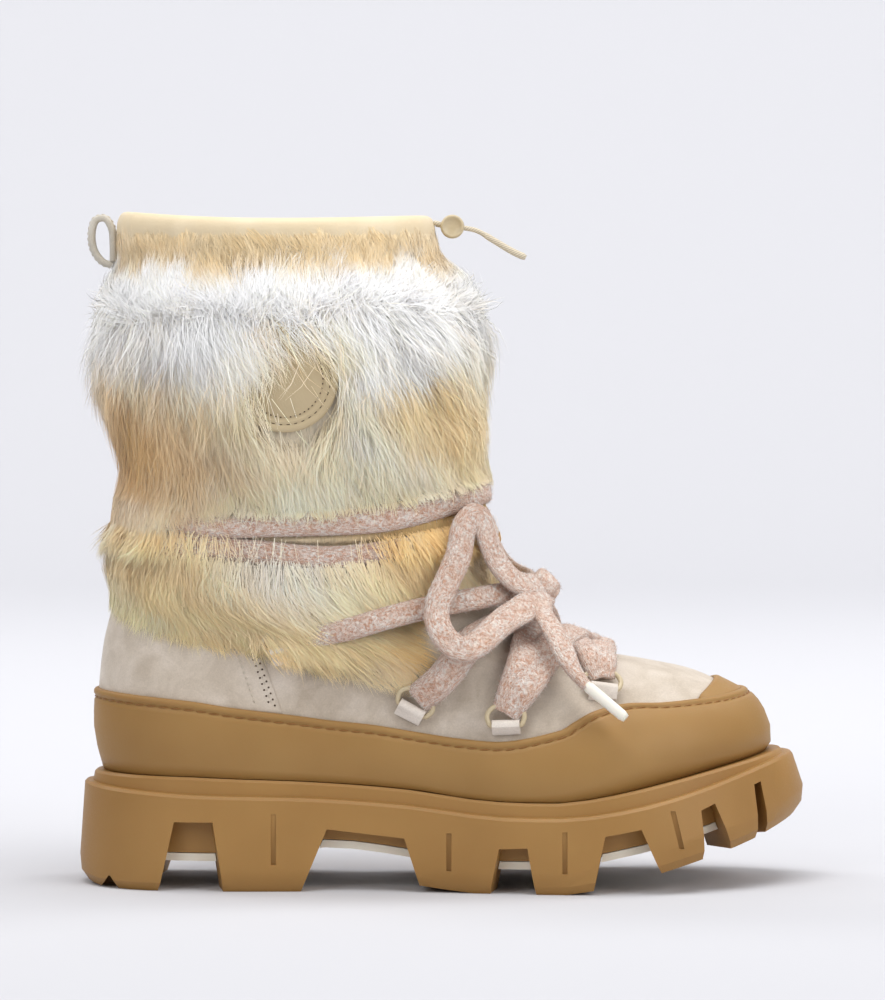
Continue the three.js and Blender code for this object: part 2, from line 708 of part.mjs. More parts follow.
function toeCapBody() {
  const columns = 18;
  const rows = 4;
  const grid = (offset) => Array.from({ length: columns + 1 }, (_, column) => {
    const turn = (column / columns * 2 - 1) * 0.985;
    const angle = Math.PI + turn * CAP_SPAN;
    const low = randEdge(angle) + 0.006;
    const high = low + CAP_RISE * Math.pow(1 - turn * turn, 0.45);
    return Array.from({ length: rows + 1 }, (__, row) => {
      return overUpper(angle, lerp(low, high, row / rows), offset);
    });
  });
  const lower = grid(FIT);
  const upper = grid(FIT + CAP_WALL);
  return loftBody(lower.map((line, index) => [...line, ...upper[index].slice().reverse()]));
}

// Collar: a band folded over the upper's top edge, highest at the back.
function collarTop(angle) {
  const turn = turnShare(angle);
  const rise = Math.cos(turn * Math.PI) ** 2 * (turn < 0.5 ? 1 : 0.5);
  return UPPER_TOP + COLLAR_HEIGHT / 2 * (0.62 + 0.38 * rise);
}

function collarBody() {
  return ringBody((angle) => {
    const top = collarTop(angle);
    const low = levelAt(angle, UPPER_TOP - COLLAR_HEIGHT / 2);
    const middle = (low + 1) / 2;
    const rim = upperPoint(angle, 1);
    const normal = upperNormal(angle, 1).setZ(0).normalize();
    const over = (offset, height) => rim.clone().addScaledVector(normal, offset).setZ(height);
    const outer = FIT + COLLAR_WALL;
    const inner = -WALL - FIT - COLLAR_WALL;
    const lift = rim.z + GAP * 2;
    return [
      overUpper(angle, low, FIT), overUpper(angle, low, outer), overUpper(angle, middle, outer),
      over(outer + 0.5, rim.z), over(outer + 0.5, lerp(rim.z, top, 0.55)),
      over(outer - 0.9, lerp(rim.z, top, 0.9)), over(-WALL / 2, top),
      over(inner + 0.9, lerp(rim.z, top, 0.86)), over(inner - 0.2, lerp(rim.z, top, 0.5)),
      over(inner, rim.z), overUpper(angle, middle, inner), overUpper(angle, middle, -WALL - FIT),
      over(-WALL - FIT, rim.z), over(-WALL - FIT, lift), over(FIT, lift), over(FIT, rim.z),
      overUpper(angle, middle, FIT),
    ];
  });
}

// Fur: a lumpy skin over the leather with pointed locks fused on.
const golden = 0.61803398875;
const scatter = (index, salt) => (
  index * golden + salt * 0.377 + Math.sin(index * 12.9 + salt * 4.1) * 0.13) % 1;

function furDepth(rows, depth, angle, share) {
  const turn = turnShare(angle);
  const back = smooth(rows, 'up', 'back', share);
  const side = smooth(rows, 'up', 'side', share);
  const front = smooth(rows, 'up', 'front', share);
  const value = turn < 0.5
    ? lerp(back, side, THREE.MathUtils.smoothstep(turn, 0, 0.42))
    : lerp(side, front, THREE.MathUtils.smoothstep(turn, 0.6, 1));
  const lumps = 1 + 0.07 * Math.sin(angle * 9 + share * 7) + 0.05 * Math.sin(angle * 17 - share * 15);
  return value * depth * lumps;
}

function edgeHeight(column, angle) {
  return smooth(EDGE_ROWS, 'turn', column, turnShare(angle)) * BOOT_HEIGHT;
}

function furSkin(rows, depth, lowEdge, topEdge, steps, gap = 0) {
  return ringBody((angle) => {
    const bottom = edgeHeight(lowEdge, angle);
    const height = edgeHeight(topEdge, angle) - gap - bottom;
    const level = (share) => levelAt(angle, bottom + share * height);
    const inner = [0, 0.2, 0.4, 0.6, 0.8, 1].map((share) => overUpper(angle, level(share), FIT * 2));
    const outer = Array.from({ length: steps + 1 }, (_, step) => {
      const share = 1 - step / steps;
      return overUpper(angle, level(share), FIT + Math.max(furDepth(rows, depth, angle, share), 1));
    });
    return [...inner, ...outer];
  });
}

// A bent, tapered lock from inside the skin to a tip that stands off it.
function lockBody(angle, low, high, share, skin, index, swell) {
  const drop = LOCK_LENGTH * (0.75 + 0.5 * scatter(index, 3));
  const drift = (scatter(index, 5) - 0.5) * 0.16;
  const station = (along, offset, width) => {
    const place = angle + drift * along;
    const height = lerp(low, high, share) - drop * along;
    const level = levelAt(place, height);
    const depth = Math.max(furDepth(skin.rows, skin.depth, place, THREE.MathUtils.clamp(share, 0, 1)), 1);
    return {
      point: overUpper(place, level, FIT + depth + offset),
      normal: upperNormal(place, level),
      width,
      thickness: width,
    };
  };
  const path = [station(0, -3.2, 0.8), station(0.55, -0.2, 1), station(1, 2.2, 0.12)];
  return spikeBody(path, LOCK_WIDTH * (0.8 + 0.5 * scatter(index, 7)), LOCK_WIDTH * 0.5, swell);
}

function locks(count, lowEdge, topEdge, skin, from, to, swell = 0) {
  return Array.from({ length: count }, (_, index) => {
    const angle = (index + 0.4 * scatter(index, 1)) / count * TURN;
    const share = lerp(from, to, scatter(index, 2));
    const [low, top] = [edgeHeight(lowEdge, angle), edgeHeight(topEdge, angle)];
    return lockBody(angle, low, top, share, skin, index, swell);
  });
}

// Lace: bands laid over the leather and the fur.
function sidePlace(x, height, side) {
  const target = new THREE.Vector3(x, side * BALL_WIDTH * 0.5, height);
  let place = nearest(target);
  for (let pass = 0; pass < 8; pass += 1) {
    const point = upperPoint(place.angle, place.level);
    place = nearest(new THREE.Vector3(target.x, point.y, target.z));
  }
  return place;
}

// Where each ring's bar lies: along is a share of SOLE_LENGTH, above the height over the rand's edge as a
// share of RAND_HEIGHT, turn its slant in radians, and tab the strap below it as a share of TAB_LENGTH.
const RING_ROWS = table('name along above turn tab', [
  ['toe', 0.715, 0.195, 0.04, 0.7],
  ['instep', 0.587, 0.178, 0.02, 0.55],
  ['ankle', 0.459, 0.26, -0.5, 0.8],
  ['rear', 0.286, 0.79, 0.25, 1],
]);

const RING_SPOTS = SIDES.flatMap((side) => RING_ROWS.map((row) => {
  const x = row.along * SOLE_LENGTH;
  const { angle, level } = sidePlace(x, randTop(x) + row.above * RAND_HEIGHT, side);
  const normal = upperNormal(angle, level);
  const along = new THREE.Vector3(1, 0, 0).addScaledVector(normal, -normal.x).normalize();
  const up = new THREE.Vector3().crossVectors(normal, along).normalize();
  if (up.z < 0) {
    up.negate();
  }
  const bar = along.clone().multiplyScalar(Math.cos(row.turn)).addScaledVector(up, Math.sin(row.turn));
  const tip = up.clone().multiplyScalar(Math.cos(row.turn)).addScaledVector(along, -Math.sin(row.turn));
  return { name: row.name, side, tab: row.tab, origin: upperPoint(angle, level), normal, bar, tip };
}));

const BAR_OFFSET = FIT + TAB_SHEET + GAP + RING_WIRE / 2 + 0.6;

function spotPoint(spot, along, up, out) {
  return spot.origin.clone().addScaledVector(spot.bar, along).addScaledVector(spot.tip, up)
    .addScaledVector(spot.normal, out);
}

// A bent wire: a straight bar through the tab and a bow above it.
function ringWire(spot, swell = 0, size = 6, steps = 9) {
  const half = (RING_WIDTH - RING_WIRE) / 2;
  const bow = RING_HEIGHT - RING_WIRE;
  const path = [];
  for (const share of [-0.9, -0.75, 0.75, 0.9]) {
    path.push([share * half, 0]);
  }
  for (let step = 0; step <= steps; step += 1) {
    const turn = -0.5 + step / steps * (Math.PI + 1);
    path.push([Math.cos(turn) * half, bow * 0.42 + Math.sin(turn) * bow * 0.58]);
  }
  const radius = RING_WIRE / 2 + swell;
  const count = path.length;
  const points = path.flatMap(([along, up], index) => {
    const [nextAlong, nextUp] = path[(index + 1) % count];
    const [lastAlong, lastUp] = path[(index - 1 + count) % count];
    const length = Math.hypot(nextAlong - lastAlong, nextUp - lastUp);
    const side = [(nextUp - lastUp) / length, -(nextAlong - lastAlong) / length];
    return Array.from({ length: size }, (_, corner) => {
      const reach = Math.cos(corner / size * TURN) * radius;
      const lift = Math.sin(corner / size * TURN) * radius;
      const tilt = up * 0.12;
      return spotPoint(spot, along + side[0] * reach, up + side[1] * reach, BAR_OFFSET + lift + tilt);
    });
  });
  const triangles = [];
  for (let turn = 0; turn < count; turn += 1) {
    for (let corner = 0; corner < size; corner += 1) {
      const [a, b] = [turn * size + corner, turn * size + (corner + 1) % size];
      const next = ((turn + 1) % count) * size;
      triangles.push([a, b, next + (corner + 1) % size], [a, next + (corner + 1) % size, next + corner]);
    }
  }
  return body(points, triangles);
}

// A strap folded round the bar, flat below it.
function tabBody(spot, swell = 0) {
  const outer = RING_WIRE / 2 + GAP + TAB_SHEET + swell;
  const bow = Array.from({ length: 9 }, (_, step) => {
    const turn = step / 8 * Math.PI * 0.9 - 0.3;
    return [Math.max(BAR_OFFSET + Math.cos(turn) * outer, FIT - swell), Math.sin(turn) * outer];
  });
  const foot = -TAB_LENGTH * spot.tab - swell;
  const profile = [...bow, [FIT - swell, foot], [FIT + TAB_SHEET * 2.2 + swell, foot]];
  const half = TAB_WIDTH / 2 + swell;
  const place = (out, up, along) => {
    if (out > BAR_OFFSET) {
      return spotPoint(spot, along, up, out);
    }
    const flat = spotPoint(spot, along, up, 0);
    const under = nearest(flat);
    return overUpper(under.angle, under.level, out);
  };
  const strap = prismBody(profile, place, -half, half);
  if (swell > 0) {
    return strap;
  }
  const ends = [-2, 2].map((share) => spotPoint(spot, share * half, 0, BAR_OFFSET));
  const hole = tubeBody(ends, RING_WIRE / 2 + GAP * 1.6);
  return strap.subtract(hole);
}

const spotOf = (name, side) => RING_SPOTS.find((spot) => spot.name === name && spot.side === side);
const hardware = RING_SPOTS.flatMap((spot) => [ringWire(spot, FIT + 0.3, 5, 6), tabBody(spot, FIT)]);

// Room in the fur round a ring and its tab.
function ringRoom(spot) {
  const half = RING_WIDTH / 2 + FIT;
  const profile = [[-1, -1.2], [1, -1.2], [1.05, 0.5], [0.5, 1.05], [-0.5, 1.05], [-1.05, 0.5]]
    .map(([along, up]) => [along * half, up * (up > 0 ? RING_HEIGHT : TAB_LENGTH)]);
  return prismBody(profile, (along, up, out) => spotPoint(spot, along, up, out), -WALL, CUFF_DEPTH * 2);
}

// A band from one ring over the crest of the foot to another.
function crossing(fromName, fromSide, toName, toSide, crest) {
  const [start, end] = [spotOf(fromName, fromSide), spotOf(toName, toSide)];
  const top = new THREE.Vector3(crest * SOLE_LENGTH, 0, 0);
  const place = nearest(new THREE.Vector3(top.x, 0, BOOT_HEIGHT * 0.4));
  const high = upperPoint(Math.PI, place.level);
  const arc = (spot, share) => {
    const turn = share * Math.PI / 2;
    return new THREE.Vector3(
      lerp(spot.origin.x, top.x, share),
      spot.origin.y * Math.cos(turn),
      spot.origin.z + (high.z + LACE_THICKNESS * 2 - spot.origin.z) * Math.sin(turn),
    );
  };
  const lift = RING_HEIGHT * 0.52;
  const first = spotPoint(start, 0, lift, 0);
  const last = spotPoint(end, 0, lift, 0);
  const crown = new THREE.Vector3(top.x, 0, high.z + LACE_THICKNESS * 2);
  const points = [first, arc(start, 0.35), arc(start, 0.7), crown, arc(end, 0.7), arc(end, 0.35), last];
  const low = FIT + LACE_THICKNESS / 2 + 0.5;
  const over = BAR_OFFSET + RING_WIRE + LACE_THICKNESS / 2;
  const path = hugPath(points, [low + 0.6, over, low, low, low, low, low, over, low + 0.6], 14);
  return tapeBody(settle(path, LACE_WIDTH, LACE_THICKNESS), LACE_WIDTH, LACE_THICKNESS);
}

function laceCrossings() {
  const bands = [
    crossing('toe', -1, 'toe', 1, 0.72),
    crossing('toe', -1, 'instep', 1, 0.685),
    crossing('toe', 1, 'instep', -1, 0.685),
    crossing('instep', -1, 'ankle', 1, 0.64),
    crossing('instep', 1, 'ankle', -1, 0.64),
  ];
  return mainBody(without(joined(bands), hardware)).simplify(LACE_TOLERANCE);
}

// Two turns of lace round the ankle, pressed into the fur.
function ankleTurn(column, swell, corners = BAND_CORNERS) {
  const offset = ANKLE_FUR * 0.62;
  const half = LACE_WIDTH * 0.42 + swell;
  const depth = LACE_THICKNESS / 2 + swell;
  return ringBody((angle) => {
    const height = edgeHeight(column, angle);
    const level = levelAt(angle, height);
    const centre = overUpper(angle, level, FIT + offset);
    const normal = upperNormal(angle, level);
    const up = upperPoint(angle, level + 0.01).sub(upperPoint(angle, level)).normalize();
    return corners.map(([rise, out]) => centre.clone()
      .addScaledVector(up, rise * half).addScaledVector(normal, out * depth));
  });
}

// The band from the rear rings round to the front, over the lower fur.
const REAR_LACE = table('along height across', [
  [0.315, 0.372, 0.42], [0.362, 0.384, 0.42], [0.424, 0.403, 0.4], [0.482, 0.418, 0.36],
  [0.54, 0.425, 0.24], [0.585, 0.425, 0.08],
]);

function rearLace(swell, corners = BAND_CORNERS) {
  const half = (side) => REAR_LACE.map((row) => new THREE.Vector3(
    row.along * SOLE_LENGTH, side * row.across * BALL_WIDTH, row.height * BOOT_HEIGHT,
  ));
  const points = [...half(-1), ...half(1).reverse()];
  const low = FIT + LACE_THICKNESS / 2 + 1;
  const over = ANKLE_FUR + LACE_THICKNESS / 2;
  const path = hugPath(points, [low + 1.4, over, over, over, over, over, over, over, low + 1.4], 26);
  return tapeBody(path, LACE_WIDTH * 0.85, LACE_THICKNESS, swell, corners);
}

// The bow: a knot on the instep, a loop and an end on each side.
const KNOT = { along: 0.597, height: 0.392, across: -0.005, lift: 0.0508 };
const BOW_LOOP = table('along height across lift', [
  [0.593, 0.404, 0.01, 0.053], [0.585, 0.428, 0.11, 0.055], [0.572, 0.452, 0.14, 0.05],
  [0.56, 0.505, 0.15, 0.046], [0.548, 0.545, 0.17, 0.044], [0.532, 0.562, 0.21, 0.043],
  [0.517, 0.545, 0.27, 0.044], [0.512, 0.5, 0.31, 0.048], [0.498, 0.452, 0.37, 0.052],
  [0.486, 0.415, 0.4, 0.054], [0.497, 0.372, 0.43, 0.054], [0.522, 0.35, 0.42, 0.052],
  [0.551, 0.352, 0.36, 0.05],
  [0.574, 0.37, 0.26, 0.052], [0.588, 0.374, 0.15, 0.052], [0.598, 0.383, 0.02, 0.05],
]);
const LACE_END = table('along height across lift', [
  [0.6, 0.386, 0.05, 0.049], [0.611, 0.372, 0.16, 0.052], [0.632, 0.35, 0.24, 0.052],
  [0.652, 0.33, 0.32, 0.05], [0.671, 0.313, 0.38, 0.05], [0.688, 0.296, 0.41, 0.05],
]);
const AGLET = table('along height across lift', [
  [0.6895, 0.2946, 0.411, 0.05], [0.744, 0.245, 0.45, 0.05],
]);

function freePath(rows, side, steps) {
  const points = rows.map((row) => new THREE.Vector3(
    row.along * SOLE_LENGTH, side * row.across * BALL_WIDTH, row.height * BOOT_HEIGHT,
  ));
  const lifts = rows.map((row) => row.lift * SOLE_LENGTH);
  return hugPath(points, lifts, steps);
}

function knotBody(swell = 0) {
  const place = nearest(new THREE.Vector3(
    KNOT.along * SOLE_LENGTH, KNOT.across * BALL_WIDTH, KNOT.height * BOOT_HEIGHT,
  ));
  const normal = upperNormal(place.angle, place.level);
  const centre = upperPoint(place.angle, place.level).addScaledVector(normal, KNOT.lift * SOLE_LENGTH);
  const up = new THREE.Vector3(-0.5, 0, 0.86);
  const across = new THREE.Vector3().crossVectors(normal, up).normalize();
  const rings = [-1, -0.75, -0.3, 0.3, 0.75, 1].map((share) => {
    const radius = Math.sqrt(1.05 - share * share) * LACE_WIDTH * 0.8 + swell;
    return Array.from({ length: 12 }, (_, index) => centre.clone()
      .addScaledVector(up, share * (LACE_WIDTH * 0.85 + swell))
      .addScaledVector(across, Math.cos(index / 12 * TURN) * radius)
      .addScaledVector(normal, Math.sin(index / 12 * TURN) * radius * 0.75));
  });
  return loftBody(rings);
}

// Draw cord: two short strands to a round lock, and a tail beyond it.
const TAIL_ROWS = table('along height', [
  [0.0398, -0.017], [0.056, -0.021], [0.08, -0.036], [0.105, -0.052], [0.123, -0.061],
]);

function collarFront() {
  return new THREE.Vector3(upperPoint(Math.PI, 1).x + FIT + COLLAR_WALL + 0.5, 0, collarTop(Math.PI));
}

function lockCentre() {
  const front = collarFront();
  return front.add(new THREE.Vector3(LOCK_DIAMETER / 2 + 2.2, 0, -LOCK_DIAMETER * 0.45));
}

function cordLockBody() {
  const centre = lockCentre();
  const profile = Array.from({ length: 16 }, (_, index) => {
    const turn = index / 16 * TURN;
    return [Math.cos(turn) * LOCK_DIAMETER / 2, Math.sin(turn) * LOCK_DIAMETER / 2];
  });
  return prismBody(profile, (x, z, y) => centre.clone().add(new THREE.Vector3(x, y, z)),
    -LOCK_THICKNESS / 2, LOCK_THICKNESS / 2);
}

function cordStrands() {
  const centre = lockCentre();
  const front = collarFront();
  const from = new THREE.Vector3(front.x + GAP, 0, centre.z + 1.4);
  const to = new THREE.Vector3(centre.x - LOCK_DIAMETER / 2 + 0.3, 0, centre.z + 0.6);
  const line = (shift) => [from, to].map((point) => point.clone().setY(shift));
  const strand = (shift) => tubeBody(line(shift), CORD_DIAMETER / 2);
  const spread = CORD_DIAMETER * 0.45;
  return strand(-spread).add(strand(spread)).subtract(cylinderY(centre, LOCK_DIAMETER / 2 + GAP));
}

function cylinderY(centre, radius) {
  const profile = Array.from({ length: 16 }, (_, index) => {
    const turn = index / 16 * TURN;
    return [Math.cos(turn) * radius, Math.sin(turn) * radius];
  });
  const place = (x, z, y) => centre.clone().add(new THREE.Vector3(x, y, z));
  return prismBody(profile, place, -LOCK_THICKNESS, LOCK_THICKNESS);
}

function cordTail() {
  const centre = lockCentre();
  const points = TAIL_ROWS.map((row, index) => {
    const first = TAIL_ROWS[0];
    const start = LOCK_DIAMETER / 2 + GAP + 0.05;
    return new THREE.Vector3(
      centre.x + start + (row.along - first.along) * SOLE_LENGTH, 0,
      centre.z - 0.6 + (row.height - first.height) * BOOT_HEIGHT,
    );
  });
  return tubeBody(curvePoints(points, 8), CORD_DIAMETER / 2);
}

// Pull loop: a folded strap at the collar's back.
const LOOP_ROWS = table('out up', [
  [0.02, -0.05], [-0.24, 0.16], [-0.5, 0.12], [-0.62, -0.2], [-0.56, -0.62], [-0.3, -0.92], [0, -1],
]);

function pullLoopBody() {
  const back = overUpper(0, 1, FIT + COLLAR_WALL + 0.5 + GAP + LOOP_STRAP / 2 + 0.4);
  const points = LOOP_ROWS.map((row) => new THREE.Vector3(
    back.x + row.out * COLLAR_HEIGHT, 0, UPPER_TOP + COLLAR_HEIGHT * (row.up + 0.18),
  ));
  const path = curvePoints(points, 20).map((point, index, all) => {
    const ahead = all[Math.min(index + 1, all.length - 1)];
    const behind = all[Math.max(index - 1, 0)];
    const forward = ahead.clone().sub(behind).normalize();
    return { point, normal: new THREE.Vector3().crossVectors(forward, new THREE.Vector3(0, 1, 0)) };
  });
  return tapeBody(path, LOOP_WIDTH, LOOP_STRAP);
}

// Badge: a plain round patch set in a well in the shaft's fur.
const BADGE_PLACE = { along: 0.289, height: 0.757 };

function badgeDisc(swell, open) {
  const { angle, level } = sidePlace(BADGE_PLACE.along * SOLE_LENGTH, BADGE_PLACE.height * BOOT_HEIGHT, -1);
  const normal = upperNormal(angle, level);
  const origin = upperPoint(angle, level);
  const up = new THREE.Vector3(0, 0, 1).addScaledVector(normal, -normal.z).normalize();
  const across = new THREE.Vector3().crossVectors(up, normal).normalize();
  const radius = BADGE_DIAMETER / 2 + swell;
  const profile = Array.from({ length: 40 }, (_, index) => {
    const turn = index / 40 * TURN;
    return [Math.cos(turn) * radius, Math.sin(turn) * radius];
  });
  const place = (x, z, out) => origin.clone().addScaledVector(across, x).addScaledVector(up, z)
    .addScaledVector(normal, out);
  return prismBody(profile, place, BADGE_DEPTH - swell, BADGE_DEPTH + BADGE_THICKNESS + open);
}

const shaftSkin = { rows: SHAFT_FUR, depth: FUR_DEPTH };
const cuffSkin = { rows: CUFF_FUR, depth: CUFF_DEPTH };
const anklePress = ['upperLace', 'lowerLace'].map((column) => ankleTurn(column, FIT, SLOT_CORNERS));

// The lowest locks of the shaft, which hang over the laces and the cuff.
function shaftFringe(swell) {
  return locks(SHAFT_LOCKS * 0.5, 'furLow', 'furTop', shaftSkin, 0.14, 0.2, swell);
}

function shaftFurBody() {
  const skin = furSkin(SHAFT_FUR, FUR_DEPTH, 'furLow', 'furTop', 12);
  const fur = joined([skin,
    ...shaftFringe(0),
    ...locks(SHAFT_LOCKS * 0.5, 'furLow', 'furTop', shaftSkin, 0.4, 0.8)]);
  return mainBody(without(fur, [...anklePress, badgeDisc(FIT, FUR_DEPTH)])).simplify(FUR_TOLERANCE);
}

function cuffFurBody() {
  const skin = furSkin(CUFF_FUR, CUFF_DEPTH, 'cuffLow', 'upperLace', 8, 0);
  const fur = joined([skin,
    ...locks(CUFF_LOCKS * 0.5, 'cuffLow', 'upperLace', cuffSkin, 0.16, 0.24),
    ...locks(CUFF_LOCKS * 0.5, 'cuffLow', 'upperLace', cuffSkin, 0.4, 0.62)]);
  const rooms = RING_SPOTS.filter((spot) => spot.name === 'rear' || spot.name === 'ankle').map(ringRoom);
  const cutters = [...anklePress, rearLace(FIT, SLOT_CORNERS), ...rooms, ...shaftFringe(FIT)];
  return mainBody(without(fur, cutters)).simplify(FUR_TOLERANCE);
}

// Colours of the pieces.
const COLOURS = {
  rubber: [0xb18d58, 0.75],
  rand: [0xae8c58, 0.7],
  cream: [0xeae0cc, 0.8],
  suede: [0xd9d0c5, 0.95],
  felt: [0xd8d2c6, 0.95],
  fur: [0xdfcda6, 1],
  cuff: [0xd6bd8c, 1],
  leather: [0xe9dcc4, 0.6],
  strap: [0xcfc8ba, 0.8],
  patch: [0xbfaf8f, 0.7],
  painted: [0xcdbf95, 0.4],
  plastic: [0xefebdd, 0.4],
  wool: [0xe3cfc3, 1],
  cord: [0xd8ccb4, 0.9],
};

const boot = new THREE.Group();
boot.name = 'apres_ski_boot';

function place(name, whole, colour) {
  const { vertProperties, triVerts } = whole.getMesh();
  const geometry = new THREE.BufferGeometry();
  geometry.setAttribute('position', new THREE.BufferAttribute(Float32Array.from(vertProperties), 3));
  geometry.setIndex(Array.from(triVerts));
  geometry.translate(-HEEL_REST_INSET, 0, 0);
  geometry.computeVertexNormals();
  const [hex, roughness] = COLOURS[colour];
  const material = new THREE.MeshStandardMaterial({ color: hex, roughness, metalness: 0 });
  const mesh = new THREE.Mesh(geometry, material);
  mesh.name = name;
  boot.add(mesh);
}

const SIDE_NAMES = { '-1': 'outer', 1: 'inner' };
const rear = rearLace(0);
const knotRoom = knotBody(FIT);
const offKnot = (whole) => mainBody(whole.subtract(knotRoom)).simplify(LACE_TOLERANCE);
const tabs = RING_SPOTS.map((spot) => tabBody(spot));
const shaftFur = shaftFurBody();

place('outsole', outsoleBody(), 'rubber');
place('tread_plate', treadPlateBody(), 'cream');
place('insole', insoleBody(), 'felt');
place('upper', upperBody(), 'suede');
place('rand', randBody(), 'rand');
place('toe_cap', toeCapBody(), 'rand');
place('collar', collarBody(), 'leather');
place('shaft_fur', shaftFur, 'fur');
place('cuff_fur', cuffFurBody(), 'cuff');
place('badge', badgeDisc(0, 0), 'patch');
place('pull_loop', pullLoopBody(), 'strap');
place('cord_lock', cordLockBody(), 'painted');
place('cord_strands', cordStrands(), 'cord');
place('draw_cord', cordTail(), 'cord');
RING_SPOTS.forEach((spot, index) => {
  const side = SIDE_NAMES[spot.side];
  place(`d_ring_${spot.name}_${side}`, ringWire(spot), 'painted');
  place(`ring_tab_${spot.name}_${side}`, tabs[index], 'suede');
});
place('lace_crossings', laceCrossings(), 'wool');
place('ankle_lace_upper', ankleTurn('upperLace', 0), 'wool');
place('ankle_lace_lower', ankleTurn('lowerLace', 0), 'wool');
place('rear_lace', rear, 'wool');
place('lace_knot', knotBody(), 'wool');
for (const side of SIDES) {
  const name = SIDE_NAMES[side];
  const loopPath = freePath(BOW_LOOP, side, 28);
  const loopRoom = tapeBody(loopPath, LACE_WIDTH, LACE_THICKNESS, FIT);
  const end = tapeBody(freePath(LACE_END, side, 8), LACE_WIDTH * 0.8, LACE_THICKNESS);
  place(`bow_loop_${name}`, offKnot(tapeBody(loopPath, LACE_WIDTH, LACE_THICKNESS)), 'wool');
  place(`lace_end_${name}`, offKnot(end.subtract(loopRoom)), 'wool');
  const [start, , toward] = freePath(AGLET, side, 2).map((station) => station.point);
  const tip = start.clone().addScaledVector(toward.sub(start).normalize(), AGLET_LENGTH);
  place(`aglet_${name}`, tubeBody([start, tip], AGLET_DIAMETER / 2), 'plastic');
}

export default boot;
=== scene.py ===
"""An apres-ski boot for the right foot, dressed over its CAD frame.

Shapes are worked out in millimetres, with x counted from the back of the sole, and turned to metres in the
row frame when a mesh is made. +X runs to the toe, +Z up, and -Y is the outer side.
"""

import math

import bmesh
import bpy
import numpy as np
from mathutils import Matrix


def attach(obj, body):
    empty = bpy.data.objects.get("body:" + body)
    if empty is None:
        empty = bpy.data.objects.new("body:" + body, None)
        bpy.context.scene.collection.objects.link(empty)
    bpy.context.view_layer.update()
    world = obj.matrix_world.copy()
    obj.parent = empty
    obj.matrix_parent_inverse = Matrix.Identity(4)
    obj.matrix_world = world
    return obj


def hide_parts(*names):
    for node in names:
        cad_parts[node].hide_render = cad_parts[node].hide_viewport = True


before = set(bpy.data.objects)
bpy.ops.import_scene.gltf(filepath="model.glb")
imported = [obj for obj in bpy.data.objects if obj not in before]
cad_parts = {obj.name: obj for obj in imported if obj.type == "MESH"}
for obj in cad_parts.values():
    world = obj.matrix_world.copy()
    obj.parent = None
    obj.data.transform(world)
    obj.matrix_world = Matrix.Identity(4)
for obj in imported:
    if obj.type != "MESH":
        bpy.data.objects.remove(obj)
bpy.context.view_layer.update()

TURN = 2 * math.pi
SOLE_LENGTH = 290.0
BALL_WIDTH = 106.0
BOOT_HEIGHT = 267.0
HEEL_STACK = 45.0
HEEL_REST_INSET = 24.0
GAP = 0.3
FIT = 0.4
WALL = 2.2
RAND_WALL = 2.2
RAND_HEIGHT = 33.0
CAP_WALL = 2.0
COLLAR_HEIGHT = 16.0
COLLAR_WALL = 2.1
LOOP_WIDTH = 8.0
LOOP_STRAP = 2.0
BADGE_DIAMETER = 42.0
BADGE_THICKNESS = 1.8
BADGE_DEPTH = 9.0
CORD_DIAMETER = 2.0
LOCK_DIAMETER = 9.5
LOCK_THICKNESS = 6.0
LACE_WIDTH = 10.0
LACE_THICKNESS = 3.0
LACE_FULL = 1.28
LACE_SOFT = 1.3
AGLET_LENGTH = 20.5
AGLET_DIAMETER = 4.6
RING_WIDTH = 16.8
RING_HEIGHT = 10.5
RING_WIRE = 2.0
TAB_SHEET = 1.1
FUR_DEPTH = 17.0
CUFF_DEPTH = 9.0
ANKLE_FUR = 6.6
UPPER_TOP = BOOT_HEIGHT - COLLAR_HEIGHT / 2
UPPER_HEIGHT = UPPER_TOP - HEEL_STACK
BAR_OFFSET = FIT + TAB_SHEET + GAP + RING_WIRE / 2 + 0.6


def table(columns, rows):
    """The rows as one array for each named column."""
    return dict(zip(columns.split(), np.array(rows, float).T))


# Heights along the sole: along is a share of SOLE_LENGTH, rand of RAND_HEIGHT, ledge of HEEL_STACK.
SOLE_ROWS = table("along ledge rand", [
    [0, 1, 1],
    [0.0414, 1, 0.9848],
    [0.1552, 0.9889, 0.9121],
    [0.2138, 0.9733, 0.8545],
    [0.2966, 0.9556, 0.7879],
    [0.3448, 0.9378, 0.7515],
    [0.4069, 0.9111, 0.7273],
    [0.4724, 0.8711, 0.6909],
    [0.5207, 0.8222, 0.697],
    [0.5862, 0.7889, 0.7121],
    [0.6621, 0.7867, 0.8515],
    [0.6759, 0.797, 0.908],
    [0.7069, 0.8267, 1.003],
    [0.7483, 0.8778, 0.997],
    [0.7966, 0.9444, 0.9],
    [0.869, 1.0489, 0.797],
    [0.9172, 1.1111, 0.7697],
    [0.9655, 1.1689, 0.7818],
    [1, 1.1778, 0.803],
])

# The sole's outline: turn is a share of the half turn from heel to toe, the rest of half BALL_WIDTH.
OUTLINE_ROWS = table("turn half centre", [
    [0, 0, 0],
    [0.0833, 0.3491, 0],
    [0.1667, 0.6302, -0.0038],
    [0.25, 0.766, -0.0132],
    [0.3333, 0.7736, -0.0283],
    [0.4167, 0.7358, -0.0509],
    [0.5, 0.7811, -0.083],
    [0.5833, 0.9132, -0.083],
    [0.6667, 0.9962, -0.0321],
    [0.75, 0.917, 0.0528],
    [0.8333, 0.6792, 0.1396],
    [0.9167, 0.3679, 0.2075],
    [1, 0, 0.2264],
])

